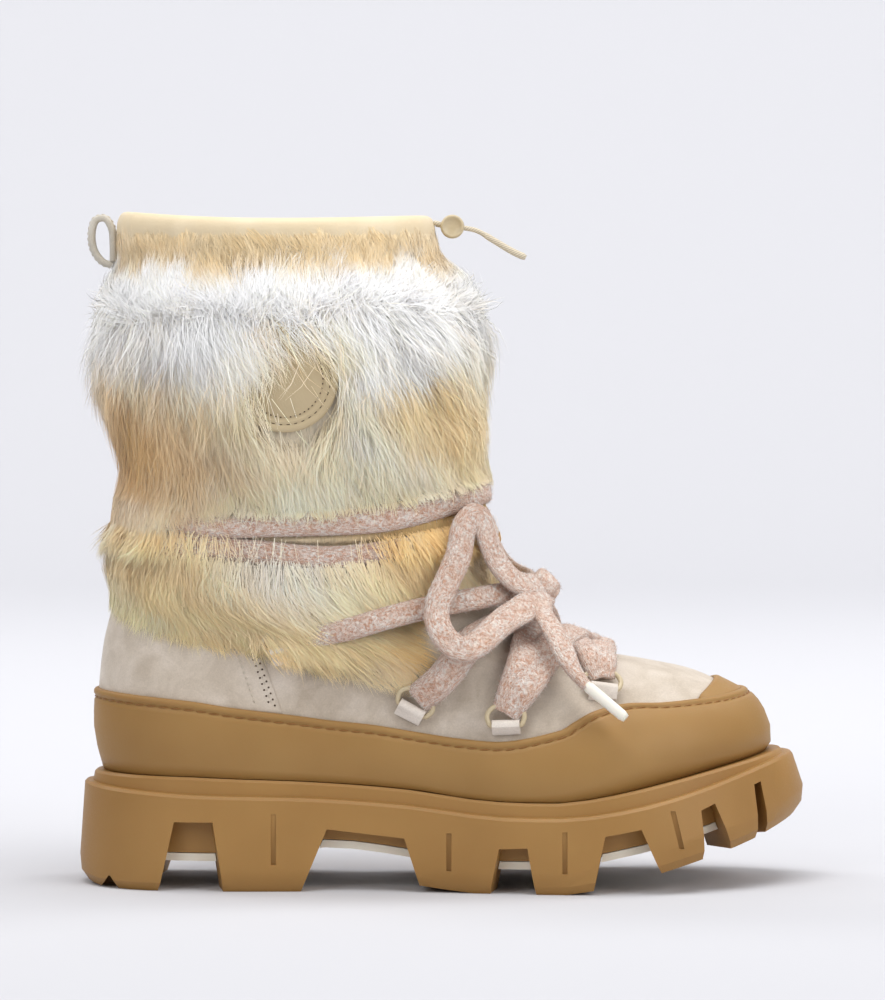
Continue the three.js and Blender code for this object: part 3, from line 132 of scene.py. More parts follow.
# The upper from its feather edge to its top, as in the frame's own table.
LEVEL_COLUMNS = "back front backRise frontRise bed foot heel ball half backPower frontPower"
LEVELS = table(LEVEL_COLUMNS, [
    [0.0421, 0.0603, 0, 0, 1, 1, 0.0906, 0.0981, 0.434, 0.7, 1],
    [0.0307, 0.0538, 0.0701, 0.0252, 1, 1, 0.0698, 0.0774, 0.4245, 0.68, 1],
    [0.0297, 0.0614, 0.1262, 0.0654, 1, 1, 0.0679, 0.0868, 0.4057, 0.66, 1],
    [0.0303, 0.0779, 0.1636, 0.1028, 1, 1, 0.0717, 0.1094, 0.3868, 0.64, 1],
    [0.0331, 0.1076, 0.2009, 0.1379, 0.85, 0.78, 0.0811, 0.1368, 0.3717, 0.62, 1],
    [0.0372, 0.1586, 0.2383, 0.1813, 0.7, 0.45, 0.0906, 0.1604, 0.3585, 0.62, 1],
    [0.0428, 0.2207, 0.271, 0.2093, 0.5, 0.22, 0.0943, 0.1604, 0.3491, 0.64, 1],
    [0.0483, 0.2966, 0.2991, 0.2327, 0.35, 0.1, 0.0943, 0.1604, 0.3453, 0.66, 1],
    [0.0538, 0.3552, 0.3271, 0.2565, 0.2, 0, 0.0943, 0.1604, 0.3491, 0.68, 0.96],
    [0.0593, 0.4, 0.3551, 0.2939, 0.1, 0, 0.0943, 0.1604, 0.3566, 0.7, 0.92],
    [0.0648, 0.431, 0.3879, 0.3551, 0, 0, 0.0943, 0.1604, 0.3679, 0.72, 0.88],
    [0.0707, 0.4483, 0.4346, 0.4439, 0, 0, 0.0943, 0.1604, 0.383, 0.74, 0.85],
    [0.0752, 0.4586, 0.5, 0.528, 0, 0, 0.0943, 0.1604, 0.4, 0.76, 0.83],
    [0.0759, 0.469, 0.6075, 0.6308, 0, 0, 0.0943, 0.1604, 0.4245, 0.78, 0.82],
    [0.0724, 0.4828, 0.7243, 0.7383, 0, 0, 0.0943, 0.1604, 0.4415, 0.8, 0.82],
    [0.0683, 0.5017, 0.8551, 0.8598, 0, 0, 0.0943, 0.1604, 0.4491, 0.8, 0.82],
    [0.0641, 0.5207, 1, 0.9953, 0, 0, 0.0943, 0.1604, 0.4491, 0.8, 0.82],
])
LEVELS["at"] = np.linspace(0, 1, len(LEVELS["back"]))

# Depth of the fur as shares of FUR_DEPTH and CUFF_DEPTH, from the lower edge to the upper.
SHAFT_FUR = table("up back side front", [
    [0, 0.16, 0.3, 0.24],
    [0.08, 0.24, 0.5, 0.36],
    [0.2, 0.46, 0.68, 0.5],
    [0.34, 0.74, 0.82, 0.62],
    [0.48, 0.95, 0.92, 0.84],
    [0.6, 1, 0.96, 1],
    [0.74, 0.88, 0.9, 1],
    [0.86, 0.66, 0.7, 0.78],
    [0.95, 0.3, 0.4, 0.42],
    [1, 0.12, 0.14, 0.16],
])
CUFF_FUR = table("up back side front", [
    [0, 0.16, 0.18, 0.18],
    [0.12, 0.5, 0.5, 0.4],
    [0.3, 0.95, 0.9, 0.6],
    [0.5, 1, 1, 0.72],
    [0.7, 0.95, 0.9, 0.74],
    [0.85, 0.8, 0.74, 0.72],
    [1, 0.6, 0.6, 0.6],
])

# Heights round the leg, from back to front, as shares of BOOT_HEIGHT.
EDGE_ROWS = table("turn cuffLow furLow furTop upperLace lowerLace", [
    [0, 0.427, 0.577, 0.933, 0.556, 0.516],
    [0.11, 0.41, 0.574, 0.934, 0.552, 0.513],
    [0.2, 0.384, 0.569, 0.935, 0.549, 0.51],
    [0.27, 0.364, 0.565, 0.935, 0.545, 0.509],
    [0.35, 0.35, 0.562, 0.935, 0.541, 0.505],
    [0.4, 0.33, 0.56, 0.935, 0.54, 0.502],
    [0.45, 0.318, 0.559, 0.935, 0.54, 0.5],
    [0.51, 0.324, 0.56, 0.935, 0.541, 0.498],
    [0.56, 0.36, 0.562, 0.935, 0.544, 0.498],
    [0.63, 0.393, 0.568, 0.935, 0.55, 0.501],
    [0.75, 0.43, 0.582, 0.934, 0.564, 0.508],
    [1, 0.452, 0.604, 0.933, 0.584, 0.526],
])


def smooth(rows, key, column, at):
    """Hermite curve through a table's rows, with each slope taken between the rows on both sides."""
    places, values = rows[key], rows[column]
    at = np.asarray(at, float)
    last = len(places) - 1
    index = np.clip(np.searchsorted(places, at, side="left") - 1, 0, last - 1)
    before, after = np.maximum(index - 1, 0), np.minimum(index + 2, last)
    span = places[index + 1] - places[index]
    share = np.clip((at - places[index]) / span, 0, 1)
    entry = (values[index + 1] - values[before]) / np.maximum(places[index + 1] - places[before], 1e-9) * span
    leave = (values[after] - values[index]) / np.maximum(places[after] - places[index], 1e-9) * span
    square, cube = share ** 2, share ** 3
    return (values[index] * (2 * cube - 3 * square + 1) + entry * (cube - 2 * square + share)
            + values[index + 1] * (3 * square - 2 * cube) + leave * (cube - square))


def ease(low, high, at):
    """Share of the way from low to high, 3t^2 - 2t^3, held at both ends."""
    share = np.clip((np.asarray(at, float) - low) / (high - low), 0, 1)
    return share * share * (3 - 2 * share)


def blend_of(first, second, share):
    """First and second mixed by the share."""
    return first + (second - first) * share


def unit(vectors):
    """The vectors divided by their lengths."""
    return vectors / np.maximum(np.linalg.norm(vectors, axis=-1, keepdims=True), 1e-12)


def sole_height(column, x):
    """A column of the sole's table at x, times the heel's stack."""
    return np.maximum(smooth(SOLE_ROWS, "along", column, x / SOLE_LENGTH), 0) * HEEL_STACK


def rand_top(x):
    """The ledge's height at x plus the rand's own."""
    return sole_height("ledge", x) + smooth(SOLE_ROWS, "along", "rand", x / SOLE_LENGTH) * RAND_HEIGHT


def turn_share(angle):
    """Share of the half turn from heel to toe, the same on both sides."""
    folded = np.mod(angle, TURN)
    return np.minimum(folded, TURN - folded) / math.pi


def outward(angle):
    """-1 on the outer side and 1 on the inner."""
    return np.where(np.sin(angle) >= 0, -1.0, 1.0)


def plan_point(angle, back, front, heel, ball):
    """A point of the sole's outline, moved in: x by a cosine of the angle, y from the outline table."""
    share = (1 - np.cos(angle)) / 2
    x = blend_of(back, SOLE_LENGTH - front, share)
    turn = turn_share(angle)
    side = blend_of(heel, ball, ease(0.25, 0.6, share))
    taper = np.minimum(1, 1.35 * np.sin(turn * math.pi))
    half = np.maximum(smooth(OUTLINE_ROWS, "turn", "half", turn) * BALL_WIDTH / 2 - side * taper, 0)
    centre = smooth(OUTLINE_ROWS, "turn", "centre", turn) * BALL_WIDTH / 2
    return x, centre + outward(angle) * half, share, centre


def upper_point(angle, level):
    """The upper's outer face: a foot outline low down turning to a superellipse of the leg higher up."""
    angle, level = np.broadcast_arrays(np.asarray(angle, float), np.asarray(level, float))
    row = {column: smooth(LEVELS, "at", column, level) for column in LEVEL_COLUMNS.split()}
    x, foot_y, share, centre = plan_point(
        angle, row["back"] * SOLE_LENGTH, row["front"] * SOLE_LENGTH, row["heel"] * BALL_WIDTH,
        row["ball"] * BALL_WIDTH)
    power = blend_of(row["backPower"], row["frontPower"], share)
    leg = np.abs(np.sin(angle)) ** power * row["half"] * BALL_WIDTH
    y = blend_of(outward(angle) * leg, foot_y, row["foot"]) + centre * row["bed"] * (1 - row["foot"])
    base = blend_of(HEEL_STACK, sole_height("ledge", x), row["bed"]) + GAP
    rise = blend_of(row["backRise"], row["frontRise"], share) * (UPPER_HEIGHT - GAP)
    return np.stack([x, y, base + rise], axis=-1)


def upper_normal(angle, level):
    """Cross product of the steps round and up."""
    low, high = np.maximum(level - 0.012, 0), np.minimum(level + 0.012, 1)
    around = upper_point(angle + 0.02, level) - upper_point(angle - 0.02, level)
    up = upper_point(angle, high) - upper_point(angle, low)
    return unit(np.cross(around, up))


def over_upper(angle, level, offset):
    """The upper's point moved out along its normal."""
    offset = np.asarray(offset, float)[..., None]
    return upper_point(angle, level) + upper_normal(angle, level) * offset


def level_at(angle, height):
    """The level where the upper reaches a height, by halving."""
    angle, height = np.broadcast_arrays(np.asarray(angle, float), np.asarray(height, float))
    low, high = np.zeros(angle.shape), np.ones(angle.shape)
    for _ in range(22):
        middle = (low + high) / 2
        under = upper_point(angle, middle)[..., 2] < height
        low, high = np.where(under, middle, low), np.where(under, high, middle)
    return (low + high) / 2


SEARCH_ANGLE, SEARCH_LEVEL = np.meshgrid(np.arange(120) / 120 * TURN, np.arange(61) / 60, indexing="ij")
SEARCH_POINTS = upper_point(SEARCH_ANGLE, SEARCH_LEVEL).reshape(-1, 3)


def nearest(points):
    """Angle and level of the upper nearest to each point: the best of a grid, then ever smaller steps."""
    points = np.asarray(points, float).reshape(-1, 3)
    apart = ((points[:, None] - SEARCH_POINTS[None]) ** 2).sum(-1)
    best = apart.argmin(1)
    angle, level = SEARCH_ANGLE.ravel()[best], SEARCH_LEVEL.ravel()[best]
    distance = apart.min(1)
    turn_step, level_step = TURN / 120, 1 / 60
    for _ in range(14):
        for turn, rise in ((1, 0), (-1, 0), (0, 1), (0, -1)):
            next_angle = angle + turn * turn_step
            next_level = np.clip(level + rise * level_step, 0, 1)
            found = ((upper_point(next_angle, next_level) - points) ** 2).sum(-1)
            better = found < distance
            angle, level = np.where(better, next_angle, angle), np.where(better, next_level, level)
            distance = np.where(better, found, distance)
        turn_step, level_step = turn_step * 0.72, level_step * 0.72
    return angle, level


def rand_edge(angle):
    """The level of the rand's upper edge at an angle, found again as x settles."""
    level = np.full(np.shape(angle), 0.1)
    for _ in range(5):
        level = level_at(angle, rand_top(upper_point(angle, level)[..., 0]))
    return level


def edge_height(column, angle):
    """A column of the heights round the leg."""
    return smooth(EDGE_ROWS, "turn", column, turn_share(angle)) * BOOT_HEIGHT


def fur_depth(rows, depth, angle, share):
    """Depth of the fur at a share of its height, with low lumps of two sine waves."""
    turn = turn_share(angle)
    back, side, front = (smooth(rows, "up", column, share) for column in ("back", "side", "front"))
    value = np.where(turn < 0.5, blend_of(back, side, ease(0, 0.42, turn)),
                     blend_of(side, front, ease(0.6, 1, turn)))
    lumps = 1 + 0.07 * np.sin(angle * 9 + share * 7) + 0.05 * np.sin(angle * 17 - share * 15)
    return value * depth * lumps


def curve_through(points, count):
    """Evenly spaced places on a centripetal Catmull-Rom curve through the points."""
    points = np.asarray(points, float)
    padded = np.vstack([2 * points[0] - points[1], points, 2 * points[-1] - points[-2]])
    knots = np.concatenate([[0], np.cumsum(np.sqrt(np.linalg.norm(np.diff(padded, axis=0), axis=1)))])
    dense = []
    for index in range(1, len(padded) - 2):
        at = np.linspace(knots[index], knots[index + 1], 24, endpoint=False)[:, None]
        t0, t1, t2, t3 = knots[index - 1:index + 3]
        p0, p1, p2, p3 = padded[index - 1:index + 3]
        a1 = (t1 - at) / (t1 - t0) * p0 + (at - t0) / (t1 - t0) * p1
        a2 = (t2 - at) / (t2 - t1) * p1 + (at - t1) / (t2 - t1) * p2
        a3 = (t3 - at) / (t3 - t2) * p2 + (at - t2) / (t3 - t2) * p3
        b1 = (t2 - at) / (t2 - t0) * a1 + (at - t0) / (t2 - t0) * a2
        b2 = (t3 - at) / (t3 - t1) * a2 + (at - t1) / (t3 - t1) * a3
        dense.append((t2 - at) / (t2 - t1) * b1 + (at - t1) / (t2 - t1) * b2)
    dense = np.vstack(dense + [points[-1:]])
    along = np.concatenate([[0], np.cumsum(np.linalg.norm(np.diff(dense, axis=0), axis=1))])
    at = np.linspace(0, along[-1], count)
    return np.stack([np.interp(at, along, dense[:, axis]) for axis in range(3)], axis=1)


# Meshes.

def grid_skin(points, around=False, along=False, at_rows=None, at_columns=None):
    """A grid of points as quads; around closes the columns and along the rows. Corner UVs are the rows' and
    columns' own distances, so a pattern runs on over the joint."""
    rows, columns = points.shape[:2]
    last_row, last_column = rows - (0 if along else 1), columns - (0 if around else 1)
    i, j = np.meshgrid(np.arange(last_row), np.arange(last_column), indexing="ij")
    i, j = i.ravel(), j.ravel()
    corner_i = np.stack([i, i, i + 1, i + 1], 1)
    corner_j = np.stack([j, j + 1, j + 1, j], 1)
    faces = (corner_i % rows) * columns + corner_j % columns
    at_rows = np.arange(rows + 1, dtype=float) if at_rows is None else np.asarray(at_rows, float)
    at_columns = np.arange(columns + 1, dtype=float) if at_columns is None else np.asarray(at_columns, float)
    uv = np.stack([at_rows[np.minimum(corner_i, len(at_rows) - 1)],
                   at_columns[np.minimum(corner_j, len(at_columns) - 1)]], -1)
    return {"points": points.reshape(-1, 3), "faces": [faces], "uv": [uv]}


def capped(skin, rows, columns):
    """The skin with a fan of triangles over its first and its last row."""
    points = skin["points"].reshape(rows, columns, 3)
    count = rows * columns
    ring = np.arange(columns)
    first = np.stack([ring, (ring + 1) % columns, np.full(columns, count)], 1)[:, ::-1]
    last = np.stack([ring + count - columns, (ring + 1) % columns + count - columns,
                     np.full(columns, count + 1)], 1)
    centres = np.stack([points[0].mean(0), points[-1].mean(0)])
    ends = np.zeros((columns, 3, 2))
    return {"points": np.vstack([skin["points"], centres]), "faces": skin["faces"] + [first, last],
            "uv": skin["uv"] + [ends + skin["uv"][0].min((0, 1)), ends + skin["uv"][0].max((0, 1))]}


def gathered(skins):
    """Several skins as one, with their corners counted on."""
    start, points, faces, uv = 0, [], [], []
    for skin in skins:
        points.append(skin["points"])
        faces += [part + start for part in skin["faces"]]
        uv += skin["uv"]
        start += len(skin["points"])
    return {"points": np.vstack(points), "faces": faces, "uv": uv}


def signed_volume(skin):
    """Sum over the faces of the first corner's triple product with the other two, fan by fan."""
    total = 0.0
    for faces in skin["faces"]:
        corners = skin["points"][faces]
        for index in range(1, faces.shape[1] - 1):
            total += np.einsum("ij,ij->", corners[:, 0], np.cross(corners[:, index], corners[:, index + 1]))
    return total


def turned_out(skin):
    """The closed skin with its faces outwards."""
    if signed_volume(skin) < 0:
        skin = dict(skin, faces=[part[:, ::-1] for part in skin["faces"]],
                    uv=[part[:, ::-1] for part in skin["uv"]])
    return skin


def make_piece(name, skin, finish, stands_for=(), smooth_faces=True, tint=None, normals=None):
    """The skin as an object in metres in the row frame, riding on the boot, with its finish."""
    mesh = bpy.data.meshes.new(name)
    points = (skin["points"] - [HEEL_REST_INSET, 0, 0]) / 1000
    sizes = np.concatenate([np.full(len(part), part.shape[1]) for part in skin["faces"]])
    corners = np.concatenate([part.ravel() for part in skin["faces"]])
    mesh.vertices.add(len(points))
    mesh.vertices.foreach_set("co", points.astype(np.float32).ravel())
    mesh.loops.add(len(corners))
    mesh.loops.foreach_set("vertex_index", corners.astype(np.int32))
    mesh.polygons.add(len(sizes))
    mesh.polygons.foreach_set("loop_start", (np.cumsum(sizes) - sizes).astype(np.int32))
    mesh.polygons.foreach_set("use_smooth", np.full(len(sizes), smooth_faces))
    if skin.get("uv"):
        layer = mesh.uv_layers.new(name="cloth")
        layer.data.foreach_set("uv", np.concatenate([part.reshape(-1, 2) for part in skin["uv"]]).ravel() / 1000)
    mesh.update(calc_edges=True)
    if tint is not None:
        colour = mesh.color_attributes.new("tint", "FLOAT_COLOR", "POINT")
        colour.data.foreach_set("color", tint.astype(np.float32).ravel())
    if normals is not None:
        mesh.normals_split_custom_set_from_vertices(normals.astype(np.float32))
    piece = bpy.data.objects.new(name, mesh)
    bpy.context.scene.collection.objects.link(piece)
    mesh.materials.append(finish)
    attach(piece, "root")
    if stands_for:
        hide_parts(*stands_for)
    return piece


def softened_copy(node, name, finish, edge=0.5, limit=32):
    """A merged copy of a CAD node, smooth but for its true edges, which get a small round of their own."""
    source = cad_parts[node]
    mesh = source.data.copy()
    mesh.name = name
    piece = bpy.data.objects.new(name, mesh)
    bpy.context.scene.collection.objects.link(piece)
    work = bmesh.new()
    work.from_mesh(mesh)
    bmesh.ops.remove_doubles(work, verts=work.verts, dist=2e-6)
    bmesh.ops.dissolve_degenerate(work, edges=work.edges, dist=1e-6)
    for face in work.faces:
        face.smooth = True
    for side in work.edges:
        side.smooth = len(side.link_faces) != 2 or side.calc_face_angle(0) < math.radians(limit)
    work.to_mesh(mesh)
    work.free()
    mesh.materials.clear()
    mesh.materials.append(finish)
    if edge:
        bevel = piece.modifiers.new("edge", "BEVEL")
        bevel.width = edge / 1000
        bevel.segments = 2
        bevel.limit_method = "ANGLE"
        bevel.angle_limit = math.radians(limit)
        bevel.use_clamp_overlap = True
        bevel.harden_normals = True
    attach(piece, "root")
    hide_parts(node)
    return piece


def tape_skin(path, normals, width, thickness, section=14, square=0.62):
    """A flat band: at each place along the path a rounded section, cos^square across by sin^0.8 out."""
    width = np.broadcast_to(width, len(path))[:, None, None] / 2
    thickness = np.broadcast_to(thickness, len(path))[:, None, None] / 2
    forward = unit(np.gradient(path, axis=0))
    across = unit(np.cross(forward, normals))
    out = unit(np.cross(across, forward))
    turn = np.arange(section) / section * TURN
    side = (np.sign(np.cos(turn)) * np.abs(np.cos(turn)) ** square)[None, :, None]
    rise = (np.sign(np.sin(turn)) * np.abs(np.sin(turn)) ** 0.8)[None, :, None]
    points = path[:, None] + across[:, None] * side * width + out[:, None] * rise * thickness
    along = np.concatenate([[0], np.cumsum(np.linalg.norm(np.diff(path, axis=0), axis=1))])
    spread = np.arange(section + 1) / section * 2 * float(np.max(width)) * 2
    return points, along, spread


def tape(path, normals, width=LACE_WIDTH, thickness=LACE_THICKNESS, section=14, square=0.62, closed=False):
    """The band as a closed skin, capped at both ends unless it runs round on itself."""
    points, along, spread = tape_skin(path, normals, width, thickness, section, square)
    if closed:
        along = np.append(along, along[-1] + np.linalg.norm(path[0] - path[-1]))
    skin = grid_skin(points, around=True, along=closed, at_rows=along, at_columns=spread)
    if not closed:
        skin = capped(skin, *points.shape[:2])
    return turned_out(skin)


def tube(path, radius, sides=10):
    """A round tube along a path, with its sections turned as little as possible."""
    forward = unit(np.gradient(path, axis=0))
    guide = np.array([0.0, 1.0, 0.0]) if abs(forward[0][1]) < 0.9 else np.array([0.0, 0.0, 1.0])
    normals = unit(np.cross(forward, np.cross(guide, forward)))
    size = np.broadcast_to(radius, len(path)) * 2
    return tape(path, normals, size, size, sides, 1.0)


def hug_path(points, offsets, count):
    """A curve through the points laid on the upper, at offsets that run along it, with its normals."""
    places = curve_through(points, count)
    angle, level = nearest(places)
    at = np.linspace(0, len(offsets) - 1, count)
    offset = np.interp(at, np.arange(len(offsets)), offsets)
    return over_upper(angle, level, offset), upper_normal(angle, level)


def smoothed(values, passes=2):
    """Each row averaged with its two neighbours, the ends held."""
    for _ in range(passes):
        values = np.vstack([values[:1], (values[:-2] + 2 * values[1:-1] + values[2:]) / 4, values[-1:]])
    return values


# Materials.

def linear(code):
    """An sRGB hex value as linear red, green, blue and 1."""
    parts = [int(code[index:index + 2], 16) / 255 for index in (1, 3, 5)]
    return [part / 12.92 if part <= 0.04045 else ((part + 0.055) / 1.055) ** 2.4 for part in parts] + [1.0]


def dyed(code):
    """A hair colour as linear red, green and blue."""
    return np.array(linear(code)[:3])


def add_node(tree, kind, inputs=None, **settings):
    """One node with its settings; an input is a value, or a socket to link."""
    node = tree.nodes.new(kind)
    for name, value in settings.items():
        setattr(node, name, value)
    for name, value in (inputs or {}).items():
        if isinstance(value, bpy.types.NodeSocket):
            tree.links.new(value, node.inputs[name])
        else:
            node.inputs[name].default_value = value
    return node


def new_finish(name, sockets):
    """A material with one Principled shader and its plain sockets."""
    finish = bpy.data.materials.new(name)
    finish.use_nodes = True
    tree = finish.node_tree
    tree.nodes.clear()
    shader = add_node(tree, "ShaderNodeBsdfPrincipled", sockets)
    add_node(tree, "ShaderNodeOutputMaterial", {"Surface": shader.outputs["BSDF"]})
    return finish, tree, shader


def shade(tree, shader, colour, bump=None, strength=0.5, distance=0.0003, roughness=None):
    """Links a colour, a height for the bump, and a roughness to the shader."""
    tree.links.new(colour, shader.inputs["Base Color"])
    if bump is not None:
        lift = add_node(tree, "ShaderNodeBump", {"Strength": strength, "Distance": distance, "Height": bump})
        tree.links.new(lift.outputs["Normal"], shader.inputs["Normal"])
    if roughness is not None:
        tree.links.new(roughness, shader.inputs["Roughness"])


def moulded_rubber(name, pale, dark, gloss=0.5):
    """Thermoplastic rubber from a spark-eroded mould: even colour with faint flow clouds, a fine matt grain
    of about 0.5 mm, and a dull broad sheen."""
    finish, tree, shader = new_finish(name, {"Roughness": gloss, "IOR": 1.5, "Specular IOR Level": 0.38,
                                             "Subsurface Weight": 0.06, "Subsurface Scale": 0.004})
    place = add_node(tree, "ShaderNodeTexCoord").outputs["Object"]
    clouds = add_node(tree, "ShaderNodeTexNoise", {"Vector": place, "Scale": 16.0, "Detail": 3.0})
    grain = add_node(tree, "ShaderNodeTexNoise", {"Vector": place, "Scale": 1500.0, "Detail": 2.0})
    spread = add_node(tree, "ShaderNodeMapRange", {"Value": clouds.outputs[0], "From Min": 0.3, "From Max": 0.7})
    colour = add_node(tree, "ShaderNodeMix", {0: spread.outputs[0], 6: linear(dark), 7: linear(pale)},
                      data_type="RGBA")
    rough = add_node(tree, "ShaderNodeMapRange", {"Value": grain.outputs[0], "From Min": 0.3, "From Max": 0.7,
                                                  "To Min": gloss - 0.05, "To Max": gloss + 0.07})
    shade(tree, shader, colour.outputs[2], grain.outputs[0], 0.22, 0.00012, rough.outputs[0])
    return finish


def napped_suede(name, pale, middle, dark):
    """Calf suede, buffed: fibres of 0.3 mm that lie in soft brushed patches 8 to 20 mm wide, no shine but a
    pale rim of nap at grazing angles."""
    finish, tree, shader = new_finish(name, {"Roughness": 0.95, "IOR": 1.45, "Specular IOR Level": 0.12,
                                             "Sheen Weight": 0.35, "Sheen Roughness": 0.5})
    place = add_node(tree, "ShaderNodeTexCoord").outputs["Object"]
    patches = add_node(tree, "ShaderNodeTexNoise", {"Vector": place, "Scale": 70.0, "Detail": 4.0,
                                                    "Roughness": 0.6, "Distortion": 0.6})
    nap = add_node(tree, "ShaderNodeTexNoise", {"Vector": place, "Scale": 1500.0, "Detail": 3.0,
                                                "Roughness": 0.7})
    ramp = add_node(tree, "ShaderNodeValToRGB", {"Fac": patches.outputs[0]})
    stops = ramp.color_ramp.elements
    stops[0].position, stops[0].color = 0.3, linear(dark)
    stops[1].position, stops[1].color = 0.72, linear(pale)
    stops.new(0.5).color = linear(middle)
    fleck = add_node(tree, "ShaderNodeMapRange", {"Value": nap.outputs[0], "From Min": 0.3, "From Max": 0.7,
                                                  "To Min": 0.9, "To Max": 1.06})
    colour = add_node(tree, "ShaderNodeMix", {0: 1.0, 6: ramp.outputs[0], 7: fleck.outputs[0]},
                      data_type="RGBA", blend_type="MULTIPLY")
    shade(tree, shader, colour.outputs[2], nap.outputs[0], 0.5, 0.00025)
    return finish


def grained_leather(name, pale, dark, cell=650.0):
    """Finished calf leather: pebble grain of about 1.5 mm cells, a satin coat and a little darker creases."""
    finish, tree, shader = new_finish(name, {"Roughness": 0.5, "IOR": 1.48, "Specular IOR Level": 0.4})
    place = add_node(tree, "ShaderNodeTexCoord").outputs["Object"]
    pebble = add_node(tree, "ShaderNodeTexVoronoi", {"Vector": place, "Scale": cell}, feature="F1")
    clouds = add_node(tree, "ShaderNodeTexNoise", {"Vector": place, "Scale": 60.0, "Detail": 3.0})
    colour = add_node(tree, "ShaderNodeMix", {0: clouds.outputs[0], 6: linear(dark), 7: linear(pale)},
                      data_type="RGBA")
    shade(tree, shader, colour.outputs[2], pebble.outputs[0], 0.3, 0.00015)
    return finish


def knitted_wool(name, pale, blush, fleck):
    """Wool lace, tubular knit in a tweed of cream and rust yarns: stitches 1.6 mm long in slanting rows,
    flecks of rust 0.6 to 2 mm long, and a soft haze of fibre."""
    finish, tree, shader = new_finish(name, {"Roughness": 1.0, "IOR": 1.5, "Specular IOR Level": 0.1,
                                             "Sheen Weight": 0.3, "Sheen Roughness": 0.6})
    cloth = add_node(tree, "ShaderNodeUVMap", uv_map="cloth").outputs[0]
    place = add_node(tree, "ShaderNodeTexCoord").outputs["Object"]
    lean = add_node(tree, "ShaderNodeMapping", {"Vector": cloth, "Rotation": (0.0, 0.0, 0.5),
                                                "Scale": (0.55, 1.3, 1.0)})
    yarn = add_node(tree, "ShaderNodeTexVoronoi", {"Vector": lean.outputs[0], "Scale": 1250.0,
                                                   "Randomness": 0.85})
    speck = add_node(tree, "ShaderNodeTexNoise", {"Vector": lean.outputs[0], "Scale": 1000.0, "Detail": 5.0,
                                                  "Roughness": 0.8, "Distortion": 0.6})
    broad = add_node(tree, "ShaderNodeTexNoise", {"Vector": place, "Scale": 150.0, "Detail": 4.0})
    haze = add_node(tree, "ShaderNodeTexNoise", {"Vector": place, "Scale": 2200.0, "Detail": 3.0})
    spread = add_node(tree, "ShaderNodeMapRange", {"Value": broad.outputs[0], "From Min": 0.35, "From Max": 0.65})
    body = add_node(tree, "ShaderNodeMix", {0: spread.outputs[0], 6: linear(blush), 7: linear(pale)},
                    data_type="RGBA")
    level = add_node(tree, "ShaderNodeMapRange", {"Value": speck.outputs[0], "From Min": 0.42, "From Max": 0.58,
                                                  "To Min": 0.0, "To Max": 0.85})
    rust = add_node(tree, "ShaderNodeMix", {0: level.outputs[0], 6: body.outputs[2], 7: linear(fleck)},
                    data_type="RGBA")
    # Painted shade: the colour falls from 1.04 to 0.82 towards each stitch's edge, where the yarn sinks between
    # stitches.
    stitch_shade = add_node(tree, "ShaderNodeMapRange", {"Value": yarn.outputs[0], "From Min": 0.0, "From Max": 0.75,
                                                 "To Min": 1.04, "To Max": 0.82})
    colour = add_node(tree, "ShaderNodeMix", {0: 1.0, 6: rust.outputs[2], 7: stitch_shade.outputs[0]},
                      data_type="RGBA", blend_type="MULTIPLY")
    height = add_node(tree, "ShaderNodeMath", {0: haze.outputs[0], 1: yarn.outputs[0]}, operation="SUBTRACT")
    shade(tree, shader, colour.outputs[2], height.outputs[0], 0.9, 0.0009)
    return finish


def fox_fur(name):
    """Fox hair: smooth keratin fibres with a soft broad gloss; each strand carries its own colour, a little darker at
    the root as painted shade and lighter to its tip."""
    finish, tree, shader = new_finish(name, {"Roughness": 0.7, "IOR": 1.55, "Specular IOR Level": 0.12,
                                             "Sheen Weight": 0.5, "Sheen Roughness": 0.55})
    tint = add_node(tree, "ShaderNodeAttribute", attribute_name="tint")
    shade(tree, shader, tint.outputs["Color"])
    return finish


def under_fur(name):
    """The dense underwool beneath the guard hair: matt, in clumps of 3 to 6 mm drawn down the leg."""
    finish, tree, shader = new_finish(name, {"Roughness": 1.0, "Specular IOR Level": 0.08,
                                             "Sheen Weight": 0.2, "Sheen Roughness": 0.7})
    place = add_node(tree, "ShaderNodeTexCoord").outputs["Object"]
    drawn = add_node(tree, "ShaderNodeMapping", {"Vector": place, "Scale": (1.0, 1.0, 0.16)})
    locks = add_node(tree, "ShaderNodeTexNoise", {"Vector": drawn.outputs[0], "Scale": 900.0, "Detail": 4.0,
                                                  "Distortion": 0.8})
    tint = add_node(tree, "ShaderNodeAttribute", attribute_name="tint")
    # Painted shade: the colour darkens to 0.72 where the locks sink, in the hollows between clumps.
    dark = add_node(tree, "ShaderNodeMapRange", {"Value": locks.outputs[0], "From Min": 0.3, "From Max": 0.7,
                                                 "To Min": 0.72, "To Max": 1.0})
    colour = add_node(tree, "ShaderNodeMix", {0: 1.0, 6: tint.outputs["Color"], 7: dark.outputs[0]},
                      data_type="RGBA", blend_type="MULTIPLY")
    shade(tree, shader, colour.outputs[2], locks.outputs[0], 0.8, 0.001)
    return finish


def painted_zinc(name, code):
    """Cast zinc rings under cream enamel: satin, with the faint orange peel of spray paint."""
    finish, tree, shader = new_finish(name, {"Roughness": 0.36, "IOR": 1.5, "Coat Weight": 0.25,
                                             "Coat Roughness": 0.25})
    place = add_node(tree, "ShaderNodeTexCoord").outputs["Object"]
    peel = add_node(tree, "ShaderNodeTexNoise", {"Vector": place, "Scale": 900.0, "Detail": 1.0})
    wear = add_node(tree, "ShaderNodeMapRange", {"Value": peel.outputs[0], "To Min": 0.92, "To Max": 1.04})
    colour = add_node(tree, "ShaderNodeMix", {0: 1.0, 6: linear(code), 7: wear.outputs[0]},
                      data_type="RGBA", blend_type="MULTIPLY")
    shade(tree, shader, colour.outputs[2], peel.outputs[0], 0.15, 0.0001)
    return finish


